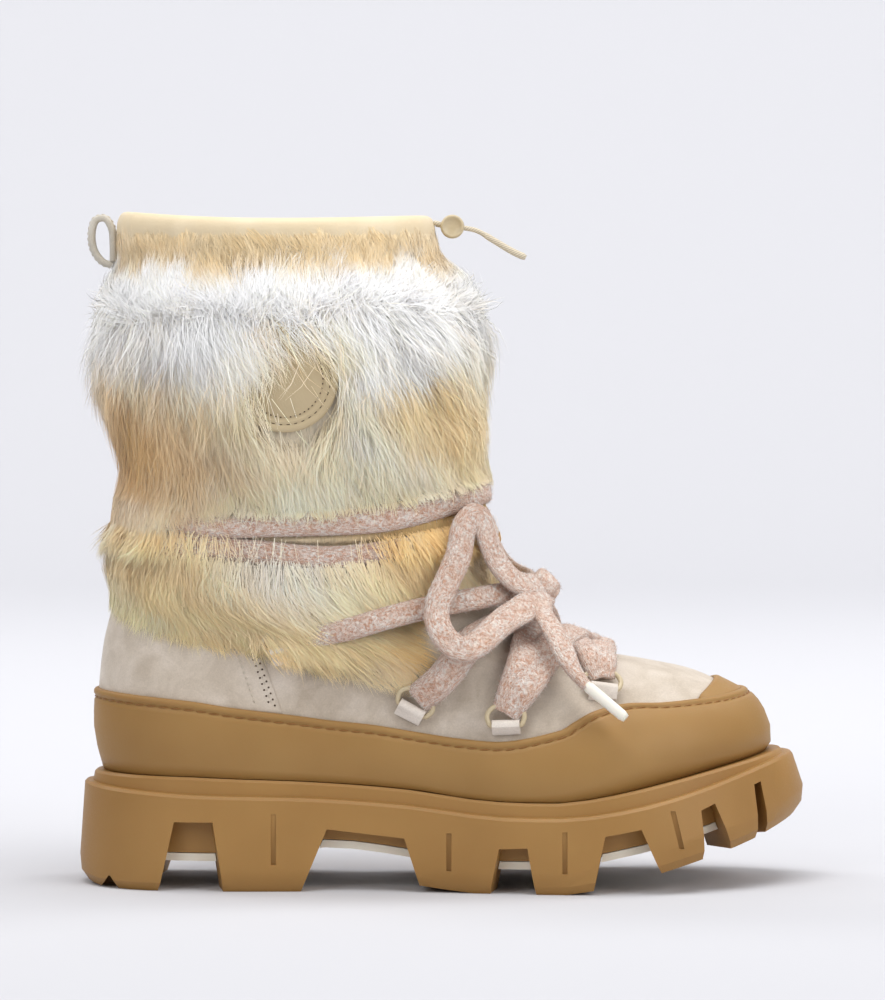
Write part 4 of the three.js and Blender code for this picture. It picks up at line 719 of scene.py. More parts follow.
def spun_thread(name, code, gloss=0.45):
    """Bonded polyester thread: three twisted plies with a dull gloss, the colour painted lighter on each turn and
    darker in the grooves between turns, as painted light and shade.
    """
    finish, tree, shader = new_finish(name, {"Roughness": gloss, "IOR": 1.5})
    cloth = add_node(tree, "ShaderNodeUVMap", uv_map="cloth").outputs[0]
    lean = add_node(tree, "ShaderNodeMapping", {"Vector": cloth, "Rotation": (0.0, 0.0, 0.8)})
    ply = add_node(tree, "ShaderNodeTexWave", {"Vector": lean.outputs[0], "Scale": 420.0})
    # Painted light and shade: the colour runs from 0.7 in the grooves between plies to 1.05 on each turn.
    dark = add_node(tree, "ShaderNodeMapRange", {"Value": ply.outputs[1], "To Min": 0.7, "To Max": 1.05})
    colour = add_node(tree, "ShaderNodeMix", {0: 1.0, 6: linear(code), 7: dark.outputs[0]},
                      data_type="RGBA", blend_type="MULTIPLY")
    shade(tree, shader, colour.outputs[2], ply.outputs[1], 0.5, 0.0002)
    return finish


def pressed_felt(name, pale, dark):
    """Pressed wool felt: tangled fibres of 0.3 mm, matt."""
    finish, tree, shader = new_finish(name, {"Roughness": 1.0, "Specular IOR Level": 0.1, "Sheen Weight": 0.4})
    place = add_node(tree, "ShaderNodeTexCoord").outputs["Object"]
    tangle = add_node(tree, "ShaderNodeTexNoise", {"Vector": place, "Scale": 420.0, "Detail": 6.0,
                                                   "Roughness": 0.75, "Distortion": 2.0})
    colour = add_node(tree, "ShaderNodeMix", {0: tangle.outputs[0], 6: linear(dark), 7: linear(pale)},
                      data_type="RGBA")
    shade(tree, shader, colour.outputs[2], tangle.outputs[0], 0.9, 0.0012)
    return finish


def glossy_plastic(name, code):
    """Injected acetate: even ivory with a clear gloss and faint drawing lines."""
    finish, tree, shader = new_finish(name, {"Roughness": 0.3, "IOR": 1.49, "Subsurface Weight": 0.1,
                                             "Subsurface Scale": 0.002})
    place = add_node(tree, "ShaderNodeTexCoord").outputs["Object"]
    soft = add_node(tree, "ShaderNodeTexNoise", {"Vector": place, "Scale": 300.0, "Detail": 2.0})
    wear = add_node(tree, "ShaderNodeMapRange", {"Value": soft.outputs[0], "To Min": 0.95, "To Max": 1.02})
    colour = add_node(tree, "ShaderNodeMix", {0: 1.0, 6: linear(code), 7: wear.outputs[0]},
                      data_type="RGBA", blend_type="MULTIPLY")
    shade(tree, shader, colour.outputs[2], soft.outputs[0], 0.1, 0.0001)
    return finish


OUTSOLE_RUBBER = moulded_rubber("moulded_rubber_outsole", "#A37B44", "#966E39", 0.48)
RAND_RUBBER = moulded_rubber("moulded_rubber_rand", "#A47F49", "#97713D", 0.5)
PLATE_RUBBER = moulded_rubber("moulded_rubber_cream", "#F0E8D8", "#E2D8C4", 0.6)
SUEDE = napped_suede("calf_suede", "#D5C9BB", "#C8BBAB", "#B9AB9A")
TAB_SUEDE = napped_suede("tab_suede", "#E9E0D6", "#DFD5CA", "#D1C6BA")
COLLAR_LEATHER = grained_leather("collar_calf_leather", "#EBDABB", "#DBC6A0", 900.0)
STRAP_LEATHER = napped_suede("loop_suede", "#D6D0C4", "#CBC4B7", "#BDB6A8")
PATCH_LEATHER = grained_leather("patch_calf_leather", "#CDBB98", "#BAA682", 1100.0)
WOOL = knitted_wool("knitted_tweed_wool", "#FDF6EE", "#F6E0D0", "#D09572")
FUR = fox_fur("fox_guard_hair")
UNDERFUR = under_fur("fox_underwool")
PAINTED = painted_zinc("enamelled_zinc", "#C9B896")
THREAD = spun_thread("rand_thread", "#9C6A30")
PALE_THREAD = spun_thread("pale_thread", "#D8CDBB")
CORD = spun_thread("braided_cord", "#DCCFB6", 0.7)
# Punched holes are dark glossy discs laid on the leather: painted shade for the hollow inside each hole.
HOLE_SHADE = glossy_plastic("painted_hole_shade", "#4A3A2A")
FELT = pressed_felt("pressed_wool_felt", "#DDD6CA", "#C4BBAD")
FLEECE = pressed_felt("shearling_fleece", "#EFE9DE", "#D6CDBE")
AGLET_PLASTIC = glossy_plastic("acetate_aglet", "#F1EDE0")


# Camera, light and floor.

def set_stage():
    """The photograph's view: 2 m from the boot's middle plane, 232 mm up, tilted down a little."""
    lens = bpy.data.cameras.new("view")
    lens.sensor_width = 36
    lens.lens = 36 * 5014 / 1000
    camera = bpy.data.objects.new("view", lens)
    camera.location = (0.121, -2.0, 0.232)
    camera.rotation_euler = (math.radians(90 - 2.284), 0, 0)
    bpy.context.scene.collection.objects.link(camera)
    bpy.context.scene.camera = camera
    sky = bpy.data.worlds.new("studio")
    sky.use_nodes = True
    sky.node_tree.nodes["Background"].inputs[0].default_value = (0.97, 0.975, 1.0, 1)
    sky.node_tree.nodes["Background"].inputs[1].default_value = 0.31
    bpy.context.scene.world = sky
    bpy.context.scene.view_settings.view_transform = "Standard"
    for name, place, aim, size, power in (
        ("overhead", (0.15, -0.3, 2.1), (0.14, 0.05, 0.1), 1.5, 32),
        ("key", (-1.3, -1.9, 1.5), (0.1, 0, 0.12), 1.4, 17),
        ("fill", (1.9, -1.4, 1.1), (0.15, 0, 0.1), 1.6, 24),
        ("paper_left", (-1.5, 0.9, 2.0), (-0.4, 3.2, 0.5), 1.6, 42),
        ("paper_right", (1.6, 0.9, 2.0), (0.6, 3.2, 0.5), 1.6, 42),
    ):
        light = bpy.data.lights.new(name, "AREA")
        light.size = size
        light.energy = power
        lamp = bpy.data.objects.new(name, light)
        lamp.location = place
        toward = np.array(aim) - np.array(place)
        flat = math.hypot(toward[0], toward[1])
        lamp.rotation_euler = (math.atan2(flat, -toward[2]), 0, math.atan2(toward[1], toward[0]) - math.pi / 2)
        bpy.context.scene.collection.objects.link(lamp)
    sweep = np.linspace(0, 1, 40)
    turn = np.clip((sweep - 0.45) / 0.35, 0, 1) * math.pi / 2
    y = np.where(sweep < 0.45, -4.0 + sweep / 0.45 * 6.0, 2.0 + 1.2 * np.sin(turn))
    z = np.where(sweep < 0.45, 0.0, 1.2 * (1 - np.cos(turn)) + np.clip(sweep - 0.8, 0, 1) * 12)
    x = np.linspace(-5, 5, 3)
    points = np.stack([np.broadcast_to(x, (40, 3)), np.broadcast_to(y[:, None], (40, 3)),
                       np.broadcast_to(z[:, None], (40, 3))], -1)
    skin = grid_skin(points)
    mesh = bpy.data.meshes.new("paper_sweep")
    mesh.from_pydata(skin["points"].tolist(), [], skin["faces"][0].tolist())
    for face in mesh.polygons:
        face.use_smooth = True
    floor = bpy.data.objects.new("paper_sweep", mesh)
    bpy.context.scene.collection.objects.link(floor)
    paper, tree, shader = new_finish("matt_paper", {"Roughness": 1.0, "Specular IOR Level": 0.0,
                                                    "Base Color": linear("#CBCBCF")})
    mesh.materials.append(paper)


# The foot: suede, quarter, rand and toe cap.

def make_suede_foot():
    """One wall from the feather edge to the collar: the upper's function outside, the same moved in by WALL
    inside."""
    angle = np.arange(200) / 200 * TURN
    up = (np.arange(65) / 64) ** 1.12
    turn, level = np.meshgrid(angle, up, indexing="ij")
    outer = upper_point(turn, level)
    down = 1 - (np.arange(25) / 24) ** 0.9
    turn, level = np.meshgrid(angle, down, indexing="ij")
    inner = over_upper(turn, level, np.full(level.shape, -WALL))
    inner[:, 0, 2] = upper_point(angle, 1.0)[:, 2]
    inner[:, -1, 2] = upper_point(angle, 0.0)[:, 2]
    points = np.concatenate([outer, inner], axis=1)
    skin = turned_out(grid_skin(points, around=True, along=True))
    make_piece("suede_foot", skin, SUEDE, ["upper"])


def shell_skin(angle, level, low, high, round_edge=0.0):
    """A patch of the upper as a thin closed shell: a grid of angles and levels at an outer and an inner
    offset, its outer face drawn down within round_edge rows of the rim."""
    rows, columns = angle.shape
    i, j = np.meshgrid(np.arange(rows), np.arange(columns), indexing="ij")
    rim = np.minimum(np.minimum(i, rows - 1 - i), np.minimum(j, columns - 1 - j)).astype(float)
    fall = 1 - np.clip(rim / max(round_edge, 1e-6), 0, 1) if round_edge else np.zeros(angle.shape)
    outer = over_upper(angle, level, high - (high - low) * 0.55 * fall ** 2)
    inner = over_upper(angle, level, np.full(angle.shape, low))
    loop = np.concatenate([outer, inner[:, ::-1]], axis=1)
    skin = grid_skin(loop, around=True)
    size = loop.shape[1]
    strip = np.arange(columns - 1)
    ends = []
    for start, flip in ((0, False), ((rows - 1) * size, True)):
        quad = np.stack([strip, strip + 1, size - 2 - strip, size - 1 - strip], 1) + start
        ends.append(quad if flip else quad[:, ::-1])
    skin["faces"] += ends
    skin["uv"] += [np.zeros((len(part), 4, 2)) for part in ends]
    return turned_out(skin)


def seam_angle(level, side, shift=0.0):
    """The angle of the quarter's front edge at a level: it leans forward as it goes down."""
    height = upper_point(np.full(np.shape(level), 1.25), level)[..., 2]
    x = 72.5 + (96 - height) * 0.34 + shift
    angle = np.full(np.shape(level), 1.2)
    low, high = np.full(np.shape(level), 0.4), np.full(np.shape(level), 2.4)
    for _ in range(20):
        angle = (low + high) / 2
        under = upper_point(angle, level)[..., 0] < x
        low, high = np.where(under, angle, low), np.where(under, high, angle)
    return angle if side < 0 else TURN - angle


def make_heel_quarter():
    """The quarter: a second layer of suede 0.9 mm thick round the heel, under the rand and the fur."""
    level = np.linspace(0.14, 0.5, 34)
    outer = seam_angle(level, -1)
    inner = seam_angle(level, 1) - TURN
    share = np.linspace(0, 1, 110)[None, :]
    angle = outer[:, None] + (inner - outer)[:, None] * share
    skin = shell_skin(angle, np.broadcast_to(level[:, None], angle.shape), 0.06, 0.85, 1.0)
    make_piece("heel_quarter", skin, SUEDE)


def dots(centres, normals, along, radius, rise=0.05, sides=8, stretch=1.0):
    """Small flat lozenges that stand for punched holes, shown as dark discs of painted shade: a rim round each centre
    and a point a little above it.
    """
    across = unit(np.cross(normals, along))
    turn = np.arange(sides) / sides * TURN
    rim = (centres[:, None] + along[:, None] * np.cos(turn)[None, :, None] * radius * stretch
           + across[:, None] * np.sin(turn)[None, :, None] * radius)
    count = len(centres)
    points = np.concatenate([rim.reshape(-1, 3), centres + normals * rise, centres - normals * 0.3])
    ring = np.arange(sides)
    base = np.arange(count)[:, None] * sides
    top = np.broadcast_to((np.arange(count) + count * sides)[:, None], (count, sides))
    low = np.broadcast_to((np.arange(count) + count * (sides + 1))[:, None], (count, sides))
    first, second = base + ring, base + (ring + 1) % sides
    faces = np.concatenate([np.stack([first, second, top], -1).reshape(-1, 3),
                            np.stack([second, first, low], -1).reshape(-1, 3)])
    return {"points": points, "faces": [faces], "uv": [np.zeros((len(faces), 3, 2))]}


def stitches(path, normals, long, thick, gap=0.18, lean=0.0, sink=0.3):
    """Even stitches on a path: short rounded capsules, six sided, each leaning a little and sunk at its ends."""
    along = np.concatenate([[0], np.cumsum(np.linalg.norm(np.diff(path, axis=0), axis=1))])
    count = max(int(along[-1] / long), 1)
    at = (np.arange(count) + 0.5) / count * along[-1]
    pick = lambda values: np.stack([np.interp(at, along, values[:, axis]) for axis in range(3)], 1)
    centre, normal = pick(path), unit(pick(normals))
    ahead = unit(pick(np.gradient(path, axis=0)))
    across = unit(np.cross(normal, ahead))
    ahead = unit(ahead + across * lean)
    across = unit(np.cross(normal, ahead))
    half = along[-1] / count * (1 - gap) / 2
    stations = np.array([-1, -0.8, -0.35, 0.35, 0.8, 1.0])
    radius = np.array([0.05, 0.7, 1, 1, 0.7, 0.05]) * thick / 2
    drop = np.array([-1, -0.5, 0, 0, -0.5, -1.0]) * sink
    turn = np.arange(6) / 6 * TURN
    ring = (across[:, None, None] * np.cos(turn)[None, None, :, None] * radius[None, :, None, None]
            + normal[:, None, None] * np.sin(turn)[None, None, :, None] * radius[None, :, None, None])
    spine = (centre[:, None] + ahead[:, None] * (stations * half)[None, :, None]
             + normal[:, None] * drop[None, :, None])
    points = (spine[:, :, None] + ring).reshape(count, -1, 3)
    one = grid_skin(points[0].reshape(6, 6, 3), around=True, at_rows=stations * half, at_columns=np.arange(7))
    size = 36
    shift = np.arange(count) * size
    faces = (one["faces"][0][None] + shift[:, None, None]).reshape(-1, 4)
    caps = np.stack([np.arange(6)[::-1], np.arange(30, 36)])
    caps = (caps[None] + shift[:, None, None]).reshape(-1, 6)
    uv = np.tile(one["uv"][0], (count, 1, 1))
    return {"points": points.reshape(-1, 3), "faces": [faces, caps], "uv": [uv, np.zeros((len(caps), 6, 2))]}


def make_quarter_seams():
    """Rows of punched holes beside the quarter's front edge: a double row at 2 and 4 mm and a stitched row
    further back."""
    holes, threads = [], []
    for side in (-1, 1):
        for shift, radius, pitch, phase in ((-1.9, 0.42, 2.5, 0.0), (-4.0, 0.42, 2.5, 0.5)):
            level = np.linspace(0.17, 0.36, 300)
            angle = seam_angle(level, side, shift)
            path, normals = over_upper(angle, level, np.full(300, 0.88)), upper_normal(angle, level)
            along = np.concatenate([[0], np.cumsum(np.linalg.norm(np.diff(path, axis=0), axis=1))])
            at = np.arange(phase * pitch, along[-1], pitch)
            pick = lambda values: np.stack([np.interp(at, along, values[:, k]) for k in range(3)], 1)
            holes.append(dots(pick(path), unit(pick(normals)), unit(pick(np.gradient(path, axis=0))), radius))
        level = np.linspace(0.17, 0.36, 300)
        angle = seam_angle(level, side, -9.6)
        path, normals = over_upper(angle, level, np.full(300, 0.9)), upper_normal(angle, level)
        threads.append(stitches(path, normals, 2.3, 0.62, 0.3, 0.1, 0.25))
        angle = seam_angle(level, side, -2.95)
        path, normals = over_upper(angle, level, np.full(300, 0.88)), upper_normal(angle, level)
        threads.append(stitches(path, normals, 2.5, 0.4, 0.25, 0.0, 0.2))
    make_piece("quarter_holes", gathered(holes), HOLE_SHADE)
    make_piece("quarter_stitches", gathered(threads), PALE_THREAD)


RAND_OUT = FIT * 1.5 + RAND_WALL
STITCH_DROP = 3.4


def make_rand():
    """The rand: from the ledge to its edge, with a shallow groove STITCH_DROP below the edge and a rounded lip
    above it; the inner face follows the upper."""
    angle = np.arange(260) / 260 * TURN
    top = rand_edge(angle)
    crest = upper_point(angle, top)
    slope = np.linalg.norm(upper_point(angle, top) - upper_point(angle, top - 0.02), axis=-1) / 0.02
    drops = np.array([30, 24, 18, 12, 8, 5.4, 4.5, 4.0, 3.4, 2.8, 2.3, 1.6, 0.9, 0.35, 0.0])
    bulge = np.array([0, 0.1, 0.2, 0.2, 0.1, 0.0, -0.05, -0.4, -0.75, -0.4, 0.08, 0.12, 0.0, -0.45, -1.2])
    columns = []
    for drop, push in zip(drops, bulge):
        level = np.maximum(top - drop / slope, top * (1 - drop / 30.001) * 0.999 if drop > 12 else 0)
        level = top * (1 - drop / 30) if drop >= 8 else np.maximum(top - drop / slope, 0)
        if drop >= 8:
            near = np.maximum(top - drop / slope, 0)
            level = blend_of(near, top * (1 - drop / 30), (drop - 8) / 22)
        columns.append(over_upper(angle, level, np.full(angle.shape, RAND_OUT + push)))
    for share in np.linspace(1, 0, 8):
        columns.append(over_upper(angle, top * share * (0.996 if share == 1 else 1),
                                  np.full(angle.shape, FIT * 1.5)))
    points = np.stack(columns, axis=1)
    floor = sole_height("ledge", points[..., 0]) + GAP
    points[..., 2] = np.maximum(points[..., 2], floor)
    skin = turned_out(grid_skin(points, around=True, along=True))
    make_piece("rubber_rand", skin, RAND_RUBBER, ["rand"])
    dense = np.linspace(0, TURN, 900)
    level = rand_edge(dense)
    slope = np.linalg.norm(upper_point(dense, level) - upper_point(dense, level - 0.02), axis=-1) / 0.02
    level = level - STITCH_DROP / slope
    path = over_upper(dense, level, np.full(dense.shape, RAND_OUT - 0.5))
    skin = stitches(path, upper_normal(dense, level), 5.1, 0.62, 0.12, 0.1, 0.3)
    make_piece("rand_stitches", skin, THREAD)


def make_toe_cap():
    """The toe cap: the frame's own span of the toe, rising in the middle as (1 - t^2)^0.45, with a rounded
    edge."""
    turn = np.linspace(-0.985, 0.985, 80)
    angle = math.pi + turn * math.pi * 0.165
    low = rand_edge(angle) - 0.004
    high = low + 0.0045 + 0.0565 * (1 - turn ** 2) ** 0.62
    share = np.linspace(0, 1, 26)[None, :]
    level = low[:, None] + (high - low)[:, None] * share
    across = np.broadcast_to(angle[:, None], level.shape)
    skin = shell_skin(across, level, FIT * 0.4, FIT + CAP_WALL * 0.72, 3.0)
    make_piece("toe_cap_shell", skin, RAND_RUBBER, ["toe_cap"])


# The sole.

def make_sole():
    """The outsole, tread plate and insole as the frame has them, with rounded edges."""
    softened_copy("outsole", "lug_outsole", OUTSOLE_RUBBER, 0.55, 30)
    softened_copy("tread_plate", "cream_tread_plate", PLATE_RUBBER, 0.4, 30)
    softened_copy("insole", "felt_insole", FELT, 0.6, 30)


def make_lining():
    """A shearling lining inside the upper: a sleeve of fleece from above the insole to the collar's fold."""
    angle = np.arange(120) / 120 * TURN
    top = level_at(angle, np.full(angle.shape, UPPER_TOP - COLLAR_HEIGHT / 2 - 1.2))
    low = np.full(angle.shape, 0.07)
    share = np.linspace(0, 1, 44)[None, :]
    level = low[:, None] + (top - low)[:, None] * share
    turn = np.broadcast_to(angle[:, None], level.shape)
    wave = 0.25 * np.sin(turn * 61 + level * 90) * np.sin(turn * 37 - level * 130)
    back = over_upper(turn, level, np.full(level.shape, -WALL - 0.15))
    front = over_upper(turn, level, -WALL - 1.35 + wave)
    points = np.concatenate([back, front[:, ::-1]], axis=1)
    skin = turned_out(grid_skin(points, around=True, along=True))
    make_piece("fleece_lining", skin, FLEECE)


# Collar, loop, cord and patch.

def collar_top(angle):
    """The collar's height: highest at the back, by a squared cosine."""
    turn = turn_share(angle)
    rise = np.cos(turn * math.pi) ** 2 * np.where(turn < 0.5, 1, 0.5)
    return UPPER_TOP + COLLAR_HEIGHT / 2 * (0.62 + 0.38 * rise)


def make_collar():
    """A leather band folded over the edge: straight sides and a round roll on top, a little puckered by the
    cord inside it."""
    angle = np.arange(240) / 240 * TURN
    top = collar_top(angle)
    low = level_at(angle, np.full(angle.shape, UPPER_TOP - COLLAR_HEIGHT / 2))
    middle = (low + 1) / 2
    rim = upper_point(angle, 1.0)
    normal = upper_normal(angle, np.ones(angle.shape))
    normal[:, 2] = 0
    normal = unit(normal)
    pucker = 0.22 * np.sin(angle * 23) * np.sin(angle * 7 + 1) + 0.12 * np.sin(angle * 41 + 2)

    def over(offset, height):
        """The rim moved out level, at a height."""
        points = rim + normal * np.broadcast_to(offset, angle.shape)[:, None]
        points[:, 2] = height
        return points

    outer = FIT + COLLAR_WALL
    inner = -WALL - FIT - COLLAR_WALL
    lift = rim[:, 2] + GAP * 2
    rows = [over_upper(angle, low, np.full(angle.shape, FIT)),
            over_upper(angle, low, np.full(angle.shape, outer - 0.5)),
            over_upper(angle, low + 0.006, np.full(angle.shape, outer)),
            over_upper(angle, middle, outer + pucker * 0.6)]
    middle_out = (outer + inner) / 2 + 0.1
    half = (outer - inner) / 2 + 0.45
    for turn in np.linspace(0, math.pi, 15):
        share = math.sin(turn) ** 0.85
        height = rim[:, 2] + (top - rim[:, 2]) * share
        rows.append(over(middle_out + half * math.copysign(abs(math.cos(turn)) ** 0.85, math.cos(turn))
                         + pucker * (1 if turn < 2 else 0.3), height))
    rows += [over_upper(angle, middle, np.full(angle.shape, inner)),
             over_upper(angle, low, np.full(angle.shape, inner)),
             over_upper(angle, low, np.full(angle.shape, -WALL - FIT)),
             over(-WALL - FIT, rim[:, 2]), over(-WALL - FIT, lift), over(FIT, lift), over(FIT, rim[:, 2]),
             over_upper(angle, middle, np.full(angle.shape, FIT))]
    skin = turned_out(grid_skin(np.stack(rows, axis=1), around=True, along=True))
    make_piece("rolled_collar", skin, COLLAR_LEATHER, ["collar"])
    dense = np.linspace(0, TURN, 900)
    level = level_at(dense, np.full(dense.shape, UPPER_TOP - COLLAR_HEIGHT / 2 + 1.6))
    path = over_upper(dense, level, np.full(dense.shape, outer + 0.04))
    skin = stitches(path, upper_normal(dense, level), 2.7, 0.6, 0.24, 0.12, 0.3)
    make_piece("collar_stitches", skin, PALE_THREAD)


LOOP_ROWS = [[0.02, -0.05], [-0.24, 0.16], [-0.5, 0.12], [-0.62, -0.2], [-0.56, -0.62], [-0.3, -0.92], [0, -1]]


def make_pull_loop():
    """The pull loop: a doubled strap on its own curve behind the collar."""
    back = over_upper(np.zeros(1), np.ones(1), np.array([FIT + COLLAR_WALL + 0.5 + GAP + LOOP_STRAP / 2 + 0.4]))[0]
    inner_leg = [(0.0, -0.92), (0.0, -0.5), (-0.05, -0.08)]
    points = np.array([[back[0] + out * COLLAR_HEIGHT * 0.86, 0, UPPER_TOP + COLLAR_HEIGHT * (up + 0.18)]
                       for out, up in inner_leg + [tuple(row) for row in LOOP_ROWS[1:]]])
    path = curve_through(points, 60)
    forward = unit(np.gradient(path, axis=0))
    normals = np.cross(forward, [0.0, 1.0, 0.0])
    skin = tape(path, normals, LOOP_WIDTH, LOOP_STRAP * 1.4, 20, 0.3)
    make_piece("suede_pull_loop", skin, STRAP_LEATHER, ["pull_loop"])
    edge = []
    for side in (-1, 1):
        line = path + np.array([0, side * (LOOP_WIDTH / 2 - 1.2), 0])
        out = unit(normals) * np.sign(-unit(normals)[:1, :1])
        edge.append(stitches(line - unit(normals) * LOOP_STRAP * 0.7, -normals, 2.2, 0.45, 0.3, 0.0, 0.2))
    make_piece("loop_stitches", gathered(edge), PALE_THREAD)


def lock_centre():
    """The cord lock's centre, just in front of the collar."""
    front = upper_point(np.array([math.pi]), 1.0)[0]
    top = collar_top(np.array([math.pi]))[0]
    return np.array([front[0] + FIT + COLLAR_WALL + 0.5 + LOCK_DIAMETER / 2 + 2.2, 0,
                     top - LOCK_DIAMETER * 0.45])


TAIL_ROWS = [[0.0398, -0.017], [0.056, -0.021], [0.08, -0.036], [0.105, -0.052], [0.123, -0.061]]


def lathe_y(centre, profile, sides=48):
    """A profile of (radius, y) pairs turned about the axis through the centre along Y."""
    turn = np.arange(sides) / sides * TURN
    radius, y = np.array(profile, float).T
    points = np.stack([centre[0] + radius[:, None] * np.cos(turn), centre[1] + np.repeat(y[:, None], sides, 1),
                       centre[2] + radius[:, None] * np.sin(turn)], -1)
    skin = capped(grid_skin(points, around=True), *points.shape[:2])
    return turned_out(skin)


def make_draw_cord():
    """The lock is a bare round stud with a rim; the cord comes out of the collar, through it, and ends in a
    sealed tip."""
    centre = lock_centre()
    radius, half = LOCK_DIAMETER / 2, LOCK_THICKNESS / 2
    profile = [(0.4, -half + 0.5), (radius - 1.5, -half + 0.5), (radius - 1.15, -half + 0.05),
               (radius - 0.6, -half), (radius - 0.12, -half + 0.35), (radius, -half + 0.9), (radius, half - 0.9),
               (radius - 0.12, half - 0.35), (radius - 0.6, half), (radius - 1.15, half - 0.05),
               (radius - 1.5, half - 0.5), (0.4, half - 0.5)]
    make_piece("cord_lock_stud", lathe_y(centre, profile), PAINTED, ["cord_lock"])
    front = upper_point(np.array([math.pi]), 1.0)[0][0] + FIT + COLLAR_WALL + 0.5
    strands = []
    for side in (-1, 1):
        path = np.array([[front - 0.6, side * CORD_DIAMETER * 0.48, centre[2] + 1.5],
                         [front + 1.4, side * CORD_DIAMETER * 0.48, centre[2] + 1.2],
                         [centre[0] - radius + 0.4, side * CORD_DIAMETER * 0.42, centre[2] + 0.6]])
        strands.append(tube(curve_through(path, 8), CORD_DIAMETER / 2, 12))
    make_piece("cord_pair", gathered(strands), CORD, ["cord_strands"])
    start = LOCK_DIAMETER / 2 + GAP + 0.05
    points = np.array([[centre[0] + start + (along - TAIL_ROWS[0][0]) * SOLE_LENGTH, 0,
                        centre[2] - 0.6 + (up - TAIL_ROWS[0][1]) * BOOT_HEIGHT] for along, up in TAIL_ROWS])
    lead = np.array([[front + 0.4, 0, centre[2] + 0.9], [centre[0] - 1, 0, centre[2]]])
    path = curve_through(np.vstack([lead, points]), 60)
    cord = make_piece("draw_cord_tail", tube(path, np.full(60, 0.98), 12), CORD, ["draw_cord"])
    tail = path[-30:]
    tip_radius = np.interp(np.linspace(0, 1, 30), [0, 0.05, 0.93, 1], [1.02, 1.22, 1.4, 0.95])
    tip = make_piece("draw_cord_tip", tube(tail + np.array([0.02, 0, 0]), tip_radius, 14), CORD)


def side_place(x, height, side):
    """Angle and level of the side's surface at an x and a height."""
    target = np.array([[x, side * BALL_WIDTH * 0.5, height]])
    angle, level = nearest(target)
    for _ in range(8):
        target[0, 1] = upper_point(angle, level)[0, 1]
        angle, level = nearest(target)
    return angle, level


def patch_frame():
    """The patch's origin and its directions across, up and out."""
    angle, level = side_place(0.289 * SOLE_LENGTH, 0.757 * BOOT_HEIGHT, -1)
    origin, normal = upper_point(angle, level)[0], upper_normal(angle, level)[0]
    up = unit(np.array([0.0, 0.0, 1.0]) - normal * normal[2])
    return origin, unit(np.cross(up, normal)), up, normal


def make_patch():
    """The round patch: a domed disc with a pressed rim, and two rows of punched holes near the edge."""
    origin, across, up, out = patch_frame()
    radius = BADGE_DIAMETER / 2
    profile = [(0.5, 1.0), (radius * 0.68, 1.0), (radius - 6.6, 0.95), (radius - 5.6, 0.6), (radius - 4.6, 0.95),
               (radius - 3.6, 1.0), (radius - 3.1, 0.72), (radius - 2.5, 1.0), (radius - 1.0, 0.97),
               (radius - 0.3, 0.75), (radius, 0.35), (radius - 0.2, 0.0), (0.5, 0.0)]
    turn = np.arange(96) / 96 * TURN
    rows = [origin + across * (r * np.cos(turn))[:, None] + up * (r * np.sin(turn))[:, None]
            + out * (BADGE_DEPTH + h * BADGE_THICKNESS) for r, h in profile]
    points = np.stack(rows)
    skin = turned_out(capped(grid_skin(points, around=True), *points.shape[:2]))
    make_piece("leather_patch", skin, PATCH_LEATHER, ["badge"])
    holes = []
    for place, pitch, size in ((radius - 3.2, 2.9, 0.52), (radius - 6.0, 1.9, 0.3)):
        count = int(TURN * place / pitch)
        turn = np.arange(count) / count * TURN
        spokes = across * np.cos(turn)[:, None] + up * np.sin(turn)[:, None]
        centres = origin + spokes * place + out * (BADGE_DEPTH + 0.8 * BADGE_THICKNESS)
        along = unit(np.cross(np.broadcast_to(out, spokes.shape), spokes))
        holes.append(dots(centres, np.broadcast_to(out, spokes.shape), along, size, 0.04, 8, 1.3))
    make_piece("patch_holes", gathered(holes), HOLE_SHADE)


# Rings, tabs and laces.

RING_ROWS = [("toe", 0.715, 0.195, 0.04, 0.7), ("instep", 0.587, 0.178, 0.02, 0.55),
             ("ankle", 0.459, 0.26, -0.5, 0.8), ("rear", 0.286, 0.79, 0.25, 1.0)]


def ring_spots():
    """Each ring's place on the upper, with its bar's direction and its bow's."""
    spots = {}
    for side in (-1, 1):
        for name, along, above, turn, _ in RING_ROWS:
            x = along * SOLE_LENGTH
            angle, level = side_place(x, float(rand_top(np.array(x))) + above * RAND_HEIGHT, side)
            normal = upper_normal(angle, level)[0]
            flat = unit(np.array([1.0, 0, 0]) - normal * normal[0])
            up = unit(np.cross(normal, flat))
            up = up if up[2] > 0 else -up
            bar = flat * math.cos(turn) + up * math.sin(turn)
            tip = up * math.cos(turn) - flat * math.sin(turn)
            spots[name, side] = (upper_point(angle, level)[0], normal, bar, tip)
    return spots


SPOTS = ring_spots()
SIDE_NAMES = {-1: "outer", 1: "inner"}


def spot_point(spot, along, up, out):
    """A point in a ring's own directions."""
    origin, normal, bar, tip = spot
    return (origin + bar * np.asarray(along)[..., None] + tip * np.asarray(up)[..., None]
            + normal * np.asarray(out)[..., None])


WOOL_SKINS = []


def woollen(name, skin, stands_for):
    """A piece of lace, whose surface is kept for the fibres that stand off it."""
    WOOL_SKINS.append(skin)
    return make_piece(name, skin, WOOL, stands_for)


